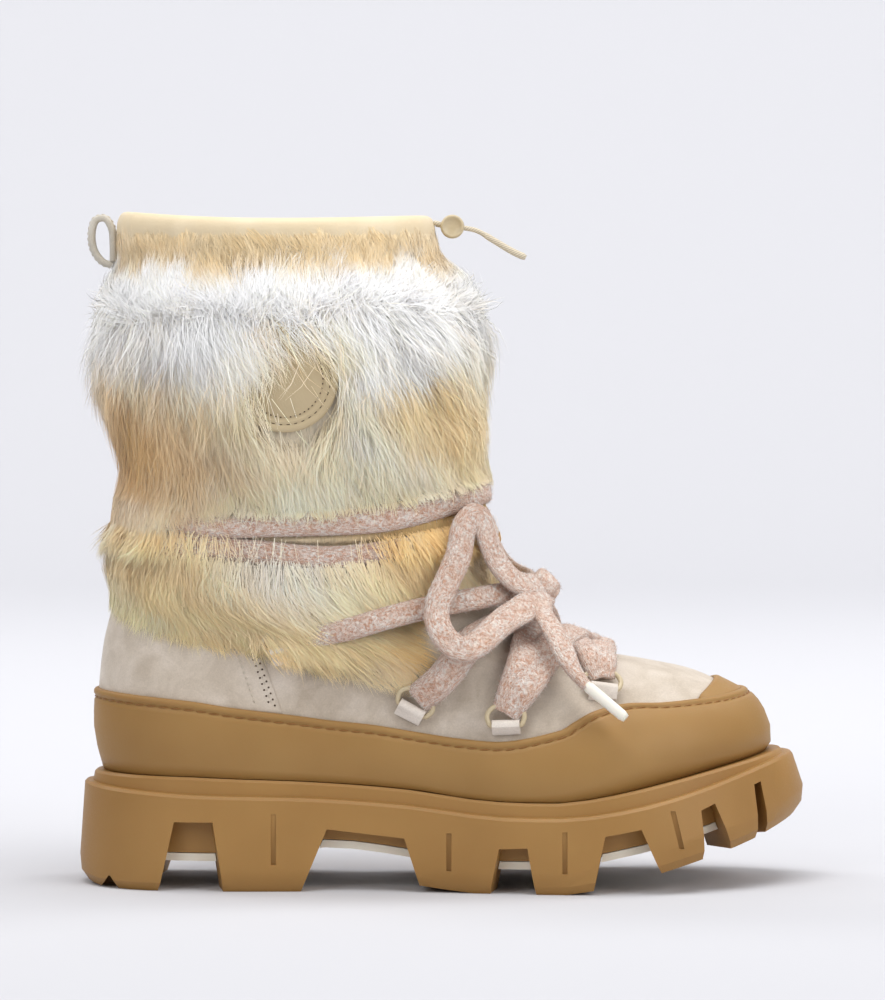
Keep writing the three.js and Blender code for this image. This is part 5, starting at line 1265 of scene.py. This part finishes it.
def make_wool_fibres():
    """Loose wool fibres 1 to 3 mm long on every lace: one pointed triangle each, leaning along the surface."""
    rng = np.random.default_rng(11)
    corners = np.concatenate([skin["points"][part] for skin in WOOL_SKINS for part in skin["faces"]
                              if part.shape[1] == 4])
    crossed = np.cross(corners[:, 2] - corners[:, 0], corners[:, 3] - corners[:, 1])
    area = np.linalg.norm(crossed, axis=1) / 2
    count = 42000
    pick = rng.choice(len(area), count, p=area / area.sum())
    u, v = rng.random((2, count, 1))
    quad = corners[pick]
    root = blend_of(blend_of(quad[:, 0], quad[:, 1], u), blend_of(quad[:, 3], quad[:, 2], u), v)
    normal = unit(crossed[pick])
    loose = unit(rng.normal(0, 1, (count, 3)))
    lean = unit(loose - normal * (loose * normal).sum(1, keepdims=True))
    ahead = unit(lean + normal * rng.uniform(0.15, 0.9, (count, 1)))
    side = unit(np.cross(ahead, normal)) * 0.07
    tip = root + ahead * rng.uniform(0.9, 2.6, (count, 1))
    points = np.stack([root - side, root + side, tip], 1).reshape(-1, 3)
    shades = np.stack([dyed(code) for code in ("#FBF3EC", "#F1D9CB", "#C98A69")])
    tint = shades[rng.choice(3, count, p=(0.5, 0.27, 0.23))] * rng.uniform(0.85, 1.05, (count, 1))
    tint = np.repeat(np.concatenate([np.clip(tint, 0, 0.96), np.ones((count, 1))], 1), 3, axis=0)
    faces = np.arange(count * 3).reshape(-1, 3)
    make_piece("wool_fibres", {"points": points, "faces": [faces], "uv": []}, FUR, (), True, tint,
               np.repeat(unit(normal + ahead * 0.3), 3, axis=0))


def make_rings():
    """Each ring: a round wire closed on itself, a straight bar below and a bow above that stands off a
    little."""
    half, bow = (RING_WIDTH - RING_WIRE) / 2, RING_HEIGHT - RING_WIRE
    turn = np.linspace(-0.5, math.pi + 0.5, 40)
    along = np.concatenate([np.linspace(-0.9, 0.9, 12) * half, np.cos(turn) * half])
    up = np.concatenate([np.zeros(12), bow * 0.42 + np.sin(turn) * bow * 0.58])
    flat = np.stack([along, up, np.zeros(len(up))], 1)
    for _ in range(2):
        flat = (np.roll(flat, 1, 0) + 2 * flat + np.roll(flat, -1, 0)) / 4
    ahead = unit(np.roll(flat, -1, 0) - np.roll(flat, 1, 0))
    side = np.stack([ahead[:, 1], -ahead[:, 0]], 1)
    wire = np.arange(12) / 12 * TURN
    reach, lift = np.cos(wire) * RING_WIRE / 2, np.sin(wire) * RING_WIRE / 2
    skins = []
    for spot in SPOTS.values():
        points = spot_point(spot, flat[:, :1] + side[:, :1] * reach, flat[:, 1:2] + side[:, 1:] * reach,
                            BAR_OFFSET + lift + flat[:, 1:2] * 0.12)
        skins.append(turned_out(grid_skin(points, around=True, along=True)))
    nodes = [f"d_ring_{name}_{SIDE_NAMES[side]}" for name, side in SPOTS]
    make_piece("lace_rings", gathered(skins), PAINTED, nodes)


def make_tabs():
    """The suede tabs as the frame has them, with soft cut edges."""
    for name, side in SPOTS:
        label = f"{name}_{SIDE_NAMES[side]}"
        softened_copy(f"ring_tab_{label}", f"suede_tab_{label}", TAB_SUEDE, 0.22, 40)


def crossing(first, first_side, second, second_side, crest, lift=0.0):
    """A band from one ring over the foot's crest to another."""
    start, end = SPOTS[first, first_side], SPOTS[second, second_side]
    top = crest * SOLE_LENGTH
    angle, level = nearest(np.array([[top, 0, BOOT_HEIGHT * 0.4]]))
    high = upper_point(np.array([math.pi]), level)[0, 2] + LACE_THICKNESS * 2

    def arc(spot, share):
        """A quarter turn from the ring up to the crest."""
        turn = share * math.pi / 2
        origin = spot[0]
        return [blend_of(origin[0], top, share), origin[1] * math.cos(turn),
                origin[2] + (high - origin[2]) * math.sin(turn)]

    reach = RING_HEIGHT * 0.52
    points = [spot_point(start, 0, reach, 0), arc(start, 0.35), arc(start, 0.7), [top, 0, high],
              arc(end, 0.7), arc(end, 0.35), spot_point(end, 0, reach, 0)]
    low = FIT + LACE_THICKNESS / 2 + 0.5
    over = BAR_OFFSET + RING_WIRE + LACE_THICKNESS / 2
    rise = [low + 0.6, over, low + 0.5 + lift * 0.3, low + lift, low + lift, low + lift, low + 0.5 + lift * 0.3,
            over, low + 0.6]
    path, normals = hug_path(points, rise, 70)
    path, normals = smoothed(path, 6), unit(smoothed(normals, 6))
    share = np.linspace(0, 1, 70)
    swell = 1 + 0.08 * np.sin(share * 7 + crest * 40) - 0.14 * np.abs(2 * share - 1) ** 6
    return tape(path, normals, LACE_WIDTH * LACE_FULL * swell, LACE_THICKNESS * LACE_SOFT * (2 - swell))


def make_crossings():
    """The bands over the foot, each laid over the one before it."""
    bands = [crossing("toe", -1, "toe", 1, 0.72), crossing("toe", -1, "instep", 1, 0.685, 1.4),
             crossing("toe", 1, "instep", -1, 0.685, 3.4), crossing("instep", -1, "ankle", 1, 0.64, 1.4),
             crossing("instep", 1, "ankle", -1, 0.64, 3.4)]
    woollen("laced_bands", gathered(bands), ["lace_crossings"])


def make_ankle_turns():
    """Two turns of lace round the ankle, pressed into the fur, rolling and narrowing a little on the way."""
    for column, phase in (("upperLace", 0.0), ("lowerLace", 2.1)):
        angle = np.arange(220) / 220 * TURN
        height = edge_height(column, angle) + 0.7 * np.sin(angle * 5 + phase)
        level = level_at(angle, height)
        lift = FIT + ANKLE_FUR * 0.72 + 0.5 * np.sin(angle * 7 + phase)
        path, normals = over_upper(angle, level, lift), upper_normal(angle, level)
        width = LACE_WIDTH * (0.95 + 0.07 * np.sin(angle * 4 + phase * 2))
        ahead = np.roll(path, -1, 0) - np.roll(path, 1, 0)
        forward = unit(ahead)
        across = unit(np.cross(forward, normals))
        out = unit(np.cross(across, forward))
        turn = np.arange(14) / 14 * TURN
        side = (np.sign(np.cos(turn)) * np.abs(np.cos(turn)) ** 0.62)[None, :, None]
        rise = (np.sign(np.sin(turn)) * np.abs(np.sin(turn)) ** 0.8)[None, :, None]
        points = (path[:, None] + across[:, None] * side * width[:, None, None] / 2
                  + out[:, None] * rise * LACE_THICKNESS * LACE_SOFT / 2)
        along = np.arange(221) / 220 * 380
        skin = turned_out(grid_skin(points, around=True, along=True, at_rows=along,
                                    at_columns=np.arange(15) / 14 * 26))
        name = "upper" if column == "upperLace" else "lower"
        woollen(f"ankle_turn_{name}", skin, [f"ankle_lace_{name}"])


REAR_LACE = np.array([[0.315, 0.372, 0.42], [0.362, 0.384, 0.42], [0.424, 0.403, 0.4], [0.482, 0.418, 0.36],
                      [0.54, 0.425, 0.24], [0.585, 0.425, 0.08]])


def make_rear_lace():
    """The band from the rear rings to the front, over the lower fur."""
    half = [REAR_LACE * [1, 1, side] for side in (-1, 1)]
    rows = np.vstack([half[0], half[1][::-1]])
    points = np.stack([rows[:, 0] * SOLE_LENGTH, rows[:, 2] * BALL_WIDTH, rows[:, 1] * BOOT_HEIGHT], 1)
    low = FIT + LACE_THICKNESS / 2 + 1
    over = ANKLE_FUR + LACE_THICKNESS / 2
    path, normals = hug_path(points, [low + 1.4] + [over] * 7 + [low + 1.4], 120)
    path, normals = smoothed(path, 6), unit(smoothed(normals, 6))
    woollen("rear_band", tape(path, normals, LACE_WIDTH * 0.9, LACE_THICKNESS * 1.2), ["rear_lace"])


KNOT_ALONG, KNOT_HEIGHT, KNOT_ACROSS, KNOT_LIFT = 0.597, 0.392, -0.005, 0.0508
BOW_LOOP = np.array([
    [0.593, 0.404, 0.01, 0.053], [0.578, 0.425, 0.13, 0.052], [0.558, 0.454, 0.17, 0.047],
    [0.54, 0.503, 0.2, 0.042], [0.531, 0.536, 0.21, 0.041],
    [0.523, 0.549, 0.235, 0.041], [0.512, 0.535, 0.28, 0.043], [0.512, 0.5, 0.31, 0.048],
    [0.498, 0.452, 0.37, 0.052], [0.486, 0.415, 0.4, 0.054], [0.497, 0.372, 0.43, 0.054],
    [0.522, 0.35, 0.42, 0.052], [0.551, 0.352, 0.36, 0.05], [0.574, 0.37, 0.26, 0.052],
    [0.588, 0.374, 0.15, 0.052], [0.598, 0.383, 0.02, 0.05],
])
LACE_END = np.array([
    [0.6, 0.386, 0.05, 0.049], [0.611, 0.372, 0.16, 0.052], [0.632, 0.35, 0.24, 0.052],
    [0.652, 0.33, 0.32, 0.05], [0.671, 0.313, 0.38, 0.05], [0.688, 0.296, 0.41, 0.05],
])
AGLET = np.array([[0.6895, 0.2946, 0.411, 0.05], [0.744, 0.245, 0.45, 0.05]])


def free_path(rows, side, count):
    """A path at the rows' own lifts over the upper."""
    points = np.stack([rows[:, 0] * SOLE_LENGTH, side * rows[:, 2] * BALL_WIDTH, rows[:, 1] * BOOT_HEIGHT], 1)
    return hug_path(points, rows[:, 3] * SOLE_LENGTH, count)


def knot_centre():
    """The knot's centre and the surface's normal under it."""
    angle, level = nearest(np.array([[KNOT_ALONG * SOLE_LENGTH, KNOT_ACROSS * BALL_WIDTH,
                                      KNOT_HEIGHT * BOOT_HEIGHT]]))
    normal = upper_normal(angle, level)[0]
    return upper_point(angle, level)[0] + normal * KNOT_LIFT * SOLE_LENGTH, normal


def make_bow():
    """The bow: a tight wrap over a crossed core, a loop and an end on each side, and the aglets."""
    centre, normal = knot_centre()
    up = unit(np.array([-0.5, 0.0, 0.86]))
    across = unit(np.cross(normal, up))
    skins = []
    turn = np.linspace(0, TURN * 1.12, 60)
    for lean, reach, wide in ((0.35, 6.4, 11.0), (-0.45, 5.4, 8.5)):
        ring = (across * (np.cos(turn) * reach)[:, None] + normal * (np.sin(turn) * reach * 0.68)[:, None]
                + up * (np.sin(turn + 0.8) * lean * 4)[:, None])
        out = unit(across * (np.cos(turn))[:, None] + normal * (np.sin(turn) / 0.68)[:, None])
        skins.append(tape(centre + ring, out, wide, LACE_THICKNESS * LACE_SOFT))
    core = np.stack([centre + up * at * 6.6 for at in np.linspace(-1, 1, 12)])
    swell = np.sqrt(1.02 - np.linspace(-1, 1, 12) ** 2)
    skins.append(tape(core, np.broadcast_to(normal, core.shape), 9.5 * swell, 7.5 * swell, 16, 0.9))
    knot = woollen("lace_wrap", gathered(skins), ["lace_knot"])
    for side in (-1, 1):
        name = SIDE_NAMES[side]
        path, normals = free_path(BOW_LOOP, side, 170)
        path, normals = smoothed(path, 16), unit(smoothed(normals, 16))
        away = np.linalg.norm(path - centre, axis=1)
        path = path[(away > 5.5)]
        normals = normals[(away > 5.5)]
        swell = 1.14 + 0.1 * np.sin(np.linspace(0, 9, len(path)) + side)
        band = tape(path, normals, LACE_WIDTH * swell, LACE_THICKNESS * LACE_SOFT * (2 - swell))
        loop = woollen(f"bow_{name}", band, [f"bow_loop_{name}"])
        path, normals = free_path(LACE_END, side, 60)
        path, normals = smoothed(path, 4), unit(smoothed(normals, 4))
        away = np.linalg.norm(path - centre, axis=1)
        path, normals = path[away > 5], normals[away > 5]
        points, _ = free_path(AGLET, side, 3)
        ahead = unit(points[2] - points[0])
        path = np.vstack([path[:-2], points[0] + ahead * 0.4, points[0] + ahead * 1.6])
        normals = np.vstack([normals[:-2], normals[-1:], normals[-1:]])
        narrow = np.interp(np.linspace(0, 1, len(path)), [0, 0.7, 0.96, 1], [1, 0.95, 0.5, 0.42])
        band = tape(path, normals, LACE_WIDTH * narrow, LACE_THICKNESS * 1.2)
        end = woollen(f"end_{name}", band, [f"lace_end_{name}"])
        tip = np.stack([points[0] + ahead * at for at in np.linspace(0, AGLET_LENGTH, 12)])
        radius = np.interp(np.arange(12), [0, 1, 10, 11], [0.88, 1, 0.94, 0.7]) * AGLET_DIAMETER / 2
        aglet = make_piece(f"aglet_tube_{name}", tube(tip, radius, 18), AGLET_PLASTIC,
                           [f"aglet_{name}"])


# Fur.

FIELD_COLUMNS = 256
FIELD_LOW, FIELD_HIGH, FIELD_STEP = 76.0, 262.0, 1.5


def leather_field():
    """The upper's points and normals on a grid of angles and heights, so hair can be laid on it quickly."""
    heights = np.arange(FIELD_LOW, FIELD_HIGH + 0.1, FIELD_STEP)
    angle, height = np.meshgrid(np.arange(FIELD_COLUMNS) / FIELD_COLUMNS * TURN, heights, indexing="ij")
    top = upper_point(angle, np.ones(angle.shape))[..., 2]
    level = level_at(angle, np.minimum(height, top))
    points, normals = upper_point(angle, level), upper_normal(angle, level)
    points[..., 2] = np.maximum(points[..., 2], height)
    span = np.linalg.norm(np.roll(points, -1, 0) - np.roll(points, 1, 0), axis=-1) / (2 * TURN / FIELD_COLUMNS)
    return np.concatenate([points, normals, span[..., None]], axis=-1)


FIELD = leather_field()


def on_leather(angle, height):
    """Point, normal and millimetres a radian at an angle and a height, between the grid's four corners."""
    column = np.mod(angle, TURN) / TURN * FIELD_COLUMNS
    row = np.clip((height - FIELD_LOW) / FIELD_STEP, 0, FIELD.shape[1] - 1.001)
    i, j = column.astype(int), row.astype(int)
    right, up = (column - i)[..., None], (row - j)[..., None]
    i = i % FIELD_COLUMNS
    after = (i + 1) % FIELD_COLUMNS
    value = ((FIELD[i, j] * (1 - right) + FIELD[after, j] * right) * (1 - up)
             + (FIELD[i, j + 1] * (1 - right) + FIELD[after, j + 1] * right) * up)
    return value[..., :3], unit(value[..., 3:6]), value[..., 6]


def shaft_depth(angle, height):
    """Depth of the shaft's fur at a height between its two edges."""
    low, high = edge_height("furLow", angle), edge_height("furTop", angle)
    return fur_depth(SHAFT_FUR, FUR_DEPTH, angle, np.clip((height - low) / (high - low), 0, 1))


def cuff_depth(angle, height):
    """Depth of the cuff's fur at a height between its two edges."""
    low, high = edge_height("cuffLow", angle), edge_height("furLow", angle)
    return fur_depth(CUFF_FUR, CUFF_DEPTH, angle, np.clip((height - low) / (high - low), 0, 1))


def patch_reach(points):
    """Places in the patch's own plane, in millimetres from its centre: across and up."""
    origin, across, up, _ = PATCH
    return (points - origin) @ across, (points - origin) @ up


PATCH = patch_frame()


def underfur(name, node, depth_of, tint_of, low_column, high_column):
    """The dense wool under the hair: a closed coat at a share of the fur's depth, pressed in by the patch and
    by the turns of lace."""
    angle = np.arange(224) / 224 * TURN
    low, high = edge_height(low_column, angle) + 0.5, edge_height(high_column, angle) - 0.5
    rise = np.concatenate([np.linspace(0, 1, 52), np.linspace(1, 0, 9)])[None, :]
    height = low[:, None] + (high - low)[:, None] * rise
    turn = np.broadcast_to(angle[:, None], height.shape)
    level = level_at(turn, height)
    edge = np.clip(np.minimum(rise, 1 - rise) * 9, 0, 1) ** 0.5
    offset = FIT + np.maximum(depth_of(turn, height) * 0.55 * edge, 0.7)
    across, up = patch_reach(upper_point(turn, level))
    near = np.where(np.sin(turn) > 0, np.hypot(across, up), 99)
    offset = np.minimum(offset, blend_of(BADGE_DEPTH - 1.2, 30, ease(BADGE_DIAMETER / 2 + 1, 34, near)))
    for column in ("upperLace", "lowerLace"):
        away = np.abs(height - edge_height(column, turn))
        pressed = FIT + ANKLE_FUR * 0.62 - LACE_THICKNESS / 2 - 0.3
        offset = np.minimum(offset, blend_of(pressed, 30, ease(LACE_WIDTH * 0.4, LACE_WIDTH, away)))
    offset[:, 52:] = FIT
    points = over_upper(turn, level, offset)
    lumps = np.random.default_rng(3).random((points.shape[0] * points.shape[1], 3))
    # The underwool takes the hair's colour times 0.78: painted shade for its place deep beneath the hair.
    tint = tint_of(points[..., 0].ravel(), height.ravel(), 0.35 + lumps * 0.3) * 0.78
    tint = np.concatenate([tint, np.ones((len(tint), 1))], 1)
    skin = turned_out(grid_skin(points, around=True, along=True))
    make_piece(name, skin, UNDERFUR, [node], tint=tint)


def spread_of(value, centre, width):
    """A bell curve, exp(-((value - centre) / width)^2)."""
    return np.exp(-((value - centre) / width) ** 2)


def shaft_tint(x, height, lump):
    """The shaft's colours: tan by the collar, white under it, then cream with a brown-gold back, a golden
    front, a tawny spot over the patch and a white streak running down from it."""
    height = height + (lump[:, 0] - 0.5) * 12
    x = x + (lump[:, 1] - 0.5) * 16
    back = spread_of(np.minimum(x, 200), 22, 34) * spread_of(height, 172, 26)
    front = spread_of(x, 152, 22) * spread_of(height, 184, 28) * 0.8
    spot = spread_of(x, 90, 15) * spread_of(height, 208, 9)
    streak = spread_of(x - (188 - height) * 0.9, 112, 11) * spread_of(height, 176, 17)
    white = ease(194, 210, height + spread_of(x, 112, 26) * 6) * (1 - spot)
    colour = blend_of(dyed("#FAE8C4"), dyed("#FFF3DE"), (lump[:, 2] * 0.9)[:, None])
    colour = blend_of(colour, dyed("#FFF8EE"), (streak * 0.85)[:, None])
    colour = blend_of(colour, dyed("#FFFCFA"), white[:, None])
    colour = blend_of(colour, dyed("#F8DAA2"), np.clip(front + spot * 0.8 + (lump[:, 2] < 0.12) * 0.4, 0, 1)[:, None])
    colour = blend_of(colour, dyed("#E6BC7C"), np.clip(back * 1.1, 0, 1)[:, None])
    return blend_of(colour, dyed("#EAD2A6"), ease(239, 250, height)[:, None])


def cuff_tint(x, height, lump):
    """The cuff's colours: golden tan, whiter in the middle, gold at the front, at the top and at the tips."""
    x = x + (lump[:, 1] - 0.5) * 16
    pale = np.clip(spread_of(x, 84, 24) * spread_of(height, 124, 13) * 1.1 + (lump[:, 0] > 0.75) * 0.3, 0, 1)
    gold = np.clip(ease(104, 140, x) * 0.7 + ease(112, 98, height) * 0.35 + ease(132, 140, height) * 0.4
                   + (lump[:, 2] > 0.8) * 0.35, 0, 1)
    colour = blend_of(dyed("#FDE8BE"), dyed("#F6CE8C"), gold[:, None])
    return blend_of(colour, dyed("#FBF2E2"), pale[:, None])


def clumps(rng, across, height, size, columns):
    """The nearest tuft to each hair, on a jittered grid that runs round: its place and its number."""
    rows = 64
    jitter = rng.random((columns, rows, 2))
    i, j = np.floor(across / size).astype(int), np.floor(height / size).astype(int)
    best = np.full(across.shape, 1e9)
    place, number = np.zeros((len(across), 2)), np.zeros(len(across), int)
    for step_i in (-1, 0, 1):
        for step_j in (-1, 0, 1):
            ci, cj = i + step_i, j + step_j
            shift = jitter[ci % columns, cj % rows]
            middle = np.stack([(ci + shift[:, 0]) * size, (cj + shift[:, 1]) * size], 1)
            apart = (middle[:, 0] - across) ** 2 + (middle[:, 1] - height) ** 2
            closer = apart < best
            best = np.where(closer, apart, best)
            place = np.where(closer[:, None], middle, place)
            number = np.where(closer, (ci % columns) * rows + cj % rows, number)
    return place, number


def hair_ribbons(route, outward_normal, width, twist):
    """Each hair as a flat ribbon of five points: two pairs and a tip, turned a little about its own line."""
    tangent = unit(np.gradient(route, axis=1))
    side = unit(np.cross(tangent, outward_normal))
    face = unit(np.cross(side, tangent))
    side = side * np.cos(twist)[:, None, None] + face * np.sin(twist)[:, None, None]
    half = width[:, None, None] / 2 * np.array([1.0, 0.85])[None, :, None]
    left, right = route[:, :2] - side[:, :2] * half, route[:, :2] + side[:, :2] * half
    points = np.concatenate([np.stack([left, right], 2).reshape(len(route), 4, 3), route[:, 2:]], axis=1)
    start = (np.arange(len(route)) * 5)[:, None]
    return {"points": points.reshape(-1, 3), "faces": [start + [0, 1, 3, 2], start + [2, 3, 4]], "uv": []}


TUFT = 6.5
TUFT_COLUMNS = 50


def hair(name, rng, angle, height, flow, length, depth_of, tint_of, lift=(0.5, 1.0), pull=0.5,
         width=0.22):
    """Hairs rooted at angles and heights of the leather: flow is the lean from straight down, in radians.
    Each runs along the leather, rises to the fur's depth, and is drawn to the middle of its tuft."""
    count = len(angle)
    scale = TUFT_COLUMNS * TUFT / TURN
    angle = np.mod(angle, TURN)
    place, tuft = clumps(rng, angle * scale, height, TUFT, TUFT_COLUMNS)
    _, wide = clumps(rng, angle * scale, height, TUFT * 2.5, TUFT_COLUMNS * 2 // 5)
    lumps = rng.random((64 * TUFT_COLUMNS, 4))[tuft]
    broad = rng.random((64 * TUFT_COLUMNS, 4))[wide]
    length = length * (0.8 + 0.2 * lumps[:, 1] + 0.2 * broad[:, 1]) * rng.uniform(0.8, 1.08, count)
    at = np.array([[0.0, 0.5, 1.0]])
    bend = ((flow + (lumps[:, 0] - 0.5) * 0.34 + (broad[:, 0] - 0.5) * 0.5 + rng.normal(0, 0.12, count))[:, None]
            + rng.normal(0, 0.2, count)[:, None] * at + (broad[:, 2] - 0.5)[:, None] * at * 0.5)
    _, _, span = on_leather(angle, height)
    step = np.diff(at, prepend=0) * length[:, None]
    drift, drop = np.cumsum(np.sin(bend) * step, axis=1), np.cumsum(np.cos(bend) * step, axis=1)
    toward = at ** 1.4 * (pull * (0.5 + 0.5 * lumps[:, 2]))[:, None]
    home = (place[:, 0] / scale - angle) * span
    new_angle = angle[:, None] + (drift + home[:, None] * toward) / span[:, None]
    new_height = height[:, None] - drop + (place[:, 1] - height)[:, None] * toward * 0.6
    point, normal, _ = on_leather(new_angle, new_height)
    stray = (rng.random(count) > 0.93) * rng.uniform(0.05, 0.42, count)
    top = lift[1] * (0.8 + 0.16 * lumps[:, 3] + 0.12 * broad[:, 3] + stray) * rng.uniform(0.88, 1.04, count)
    rise = lift[0] + (top - lift[0])[:, None] * np.sin(at * 1.5)
    offset = FIT + depth_of(new_angle, new_height) * rise
    offset = np.maximum(offset, least_offset(new_angle, new_height) + 1.2 * rng.random(count)[:, None] * at)
    route = point + normal * offset[..., None]
    across, up = patch_reach(route)
    beside = np.sin(new_angle) > 0
    over = 0.86 * up - 0.5 * across > -1.0 + rng.normal(0, 3.5, count)[:, None]
    covered = (np.hypot(across, up) < BADGE_DIAMETER / 2 + 0.8) & beside
    keep = ~(covered & ~over).any(1)
    ridge = BADGE_DEPTH + BADGE_THICKNESS + 0.5 + rng.random(count)[:, None] * 2.5
    near = (np.hypot(across, up) < BADGE_DIAMETER / 2 + 3) & beside & over
    offset = np.where(near, np.maximum(offset, ridge), offset)
    route = (point + normal * offset[..., None])[keep]
    normal, lumps, broad, count = normal[keep], lumps[keep], broad[keep], int(keep.sum())
    tint = tint_of(route[:, 1, 0], new_height[keep, 1], broad[:, :3])
    shine = 0.93 + 0.12 * lumps[:, 1] + rng.normal(0, 0.05, count)
    warm = np.clip(rng.normal(0, 0.16, count) + (lumps[:, 0] - 0.5) * 0.4, -0.5, 0.5)[:, None]
    tint = tint * shine[:, None] * (1 + warm * np.array([0.04, -0.06, -0.3]))
    # Painted shade along each strand: the colour runs from 0.96 at the root, deep in the coat, to 1.08 at the tip.
    colour = np.clip(tint[:, None] * np.array([0.96, 0.96, 1.02, 1.02, 1.08])[None, :, None], 0.02, 0.96)
    colour = np.concatenate([colour, np.ones(colour.shape[:2] + (1,))], -1).reshape(-1, 4)
    skin = hair_ribbons(route, normal, width * rng.uniform(0.7, 1.3, count), rng.normal(0, 0.45, count))
    soft = unit(normal + [0, 0, 0.75] + rng.normal(0, 0.16, (count, 1, 3)))
    soft = np.repeat(soft, [2, 2, 1], axis=1).reshape(-1, 3)
    make_piece(name, skin, FUR, (), True, colour, soft)


def least_offset(angle, height):
    """The least height of a hair over the leather where it lies over a turn of lace or over the collar."""
    over = ANKLE_FUR * 0.72 + LACE_THICKNESS * LACE_SOFT / 2 + FIT + 0.5
    reach = np.zeros(np.shape(angle))
    for column in ("upperLace", "lowerLace"):
        away = np.abs(height - edge_height(column, angle))
        reach = np.maximum(reach, over * (1 - ease(LACE_WIDTH * 0.5, LACE_WIDTH * 0.9, away)))
    collar = (FIT + COLLAR_WALL + 0.25) * ease(UPPER_TOP - 12, UPPER_TOP - 8, height)
    return np.maximum(reach, collar)


def hair_lean(angle):
    """The lean of hair, toward the heel at the back and the toe at the front; on the inner side the angle
    runs the other way."""
    turn = turn_share(angle)
    lean = 0.08 - 0.35 * (1 - ease(0.0, 0.42, turn)) + 0.42 * ease(0.5, 0.9, turn)
    return lean * np.sin(np.pi * np.clip(turn, 0.02, 0.98)) ** 0.3 * np.where(np.sin(angle) >= 0, 1, -1)


def parting(angle):
    """The height where the hair parts: a slow wave round the leg."""
    return 231 + 2.5 * np.sin(angle * 3 + 1) + 2 * np.sin(angle * 7) + 1.2 * np.sin(angle * 16 + 2)


def make_fur():
    """The shaft's and the cuff's underfur and hair. Hair over the parting points up, and all the rest down;
    it thins out over the turns of lace and at the cuff's edge."""
    underfur("shaft_underfur", "shaft_fur", shaft_depth, shaft_tint, "furLow", "furTop")
    underfur("cuff_underfur", "cuff_fur", cuff_depth, cuff_tint, "cuffLow", "furLow")
    rng = np.random.default_rng(7)
    count = 40000
    for name, first, last in (("shaft_hair_low", 0.0, 0.36), ("shaft_hair_middle", 0.36, 0.7),
                              ("shaft_hair_high", 0.7, 1.0)):
        angle = rng.random(count) * TURN
        low = edge_height("furLow", angle)
        share = rng.uniform(first, last, count)
        height = low + (parting(angle) + rng.normal(0, 4.5, count) * share ** 3 - low) * share
        room = height - edge_height("upperLace", angle) - 6 + rng.uniform(-2, 3, count)
        back = 1 - ease(0.14, 0.38, turn_share(angle) + rng.normal(0, 0.02, count))
        room = room + 19 * back + (rng.random(count) > 0.93) * 5
        length = np.minimum(rng.uniform(19, 29, count), np.maximum(room, 3.5))
        hair(name, rng, angle, height, hair_lean(angle), length, shaft_depth, shaft_tint)
    count = 28000
    angle = rng.random(count) * TURN
    height = np.clip(parting(angle) + rng.normal(4, 5.5, count), 215, UPPER_TOP - 7)
    lean = rng.normal(0, 0.6, count) * (1 - ease(-3, 9, height - parting(angle)))
    hair("shaft_hair_rim", rng, angle, height, math.pi - hair_lean(angle) * 2.0 + lean,
         rng.uniform(7, 13, count), shaft_depth, shaft_tint, (0.6, 1.08))
    count = 16000
    angle = rng.random(count) * TURN
    hair("collar_hair", rng, angle, rng.uniform(UPPER_TOP - 12, UPPER_TOP + 1.5, count),
         0.3 * np.where(np.sin(angle) >= 0, 1, -1), rng.uniform(6, 11, count), collar_nap, shaft_tint,
         (0.3, 1.0), 0.3, 0.18)
    count = 50000
    angle = rng.random(count) * TURN
    low, high = edge_height("cuffLow", angle), edge_height("lowerLace", angle) - LACE_WIDTH * 0.3
    height = low + 1 + (high - low) * rng.random(count)
    room = height - low + rng.uniform(0, 5, count) + 7 * spread_of(turn_share(angle), 0.49, 0.05)
    length = np.minimum(rng.uniform(15, 22, count), np.maximum(room, 3.5))
    hair("cuff_hair", rng, angle, height, hair_lean(angle) * 1.3, length, cuff_depth, cuff_tint)
    count = 7000
    angle = np.where(rng.random(count) < 0.45, rng.normal(0.76, 0.06, count), np.abs(rng.normal(0, 0.16, count))) * math.pi
    angle = np.where(rng.random(count) < 0.5, angle, TURN - angle)
    height = edge_height("lowerLace", angle) + LACE_WIDTH * rng.uniform(0.3, 0.7, count)
    hair("lace_tuft", rng, angle, height, hair_lean(angle), rng.uniform(10, 16, count),
         cuff_depth, cuff_tint, (0.6, 1.3))
    count = 2600
    angle = side_place(86.0, 101.0, 1)[0] + rng.normal(0, 0.085, count)
    angle = np.where(rng.random(count) < 0.5, angle, TURN - angle)
    hair("tab_tuft", rng, angle, 101.5 + rng.normal(0, 3, count), hair_lean(angle) * 1.6,
         rng.uniform(9, 14, count), tab_cover, cuff_tint, (0.7, 1.1))


def tab_cover(angle, height):
    """Depth of the hair lying over the rear ring's tab."""
    return np.full(np.shape(angle), 6.0)


def collar_nap(angle, height):
    """Depth of the short hair lying on the collar."""
    return np.full(np.shape(angle), COLLAR_WALL + 1.2)


# The boot.

def make_boot():
    """Every part, the cords before the rest."""
    set_stage()
    make_bow()
    make_draw_cord()
    make_sole()
    make_suede_foot()
    make_lining()
    make_heel_quarter()
    make_quarter_seams()
    make_rand()
    make_toe_cap()
    make_collar()
    make_pull_loop()
    make_patch()
    make_rings()
    make_tabs()
    make_crossings()
    make_ankle_turns()
    make_rear_lace()
    make_wool_fibres()
    make_fur()


make_boot()
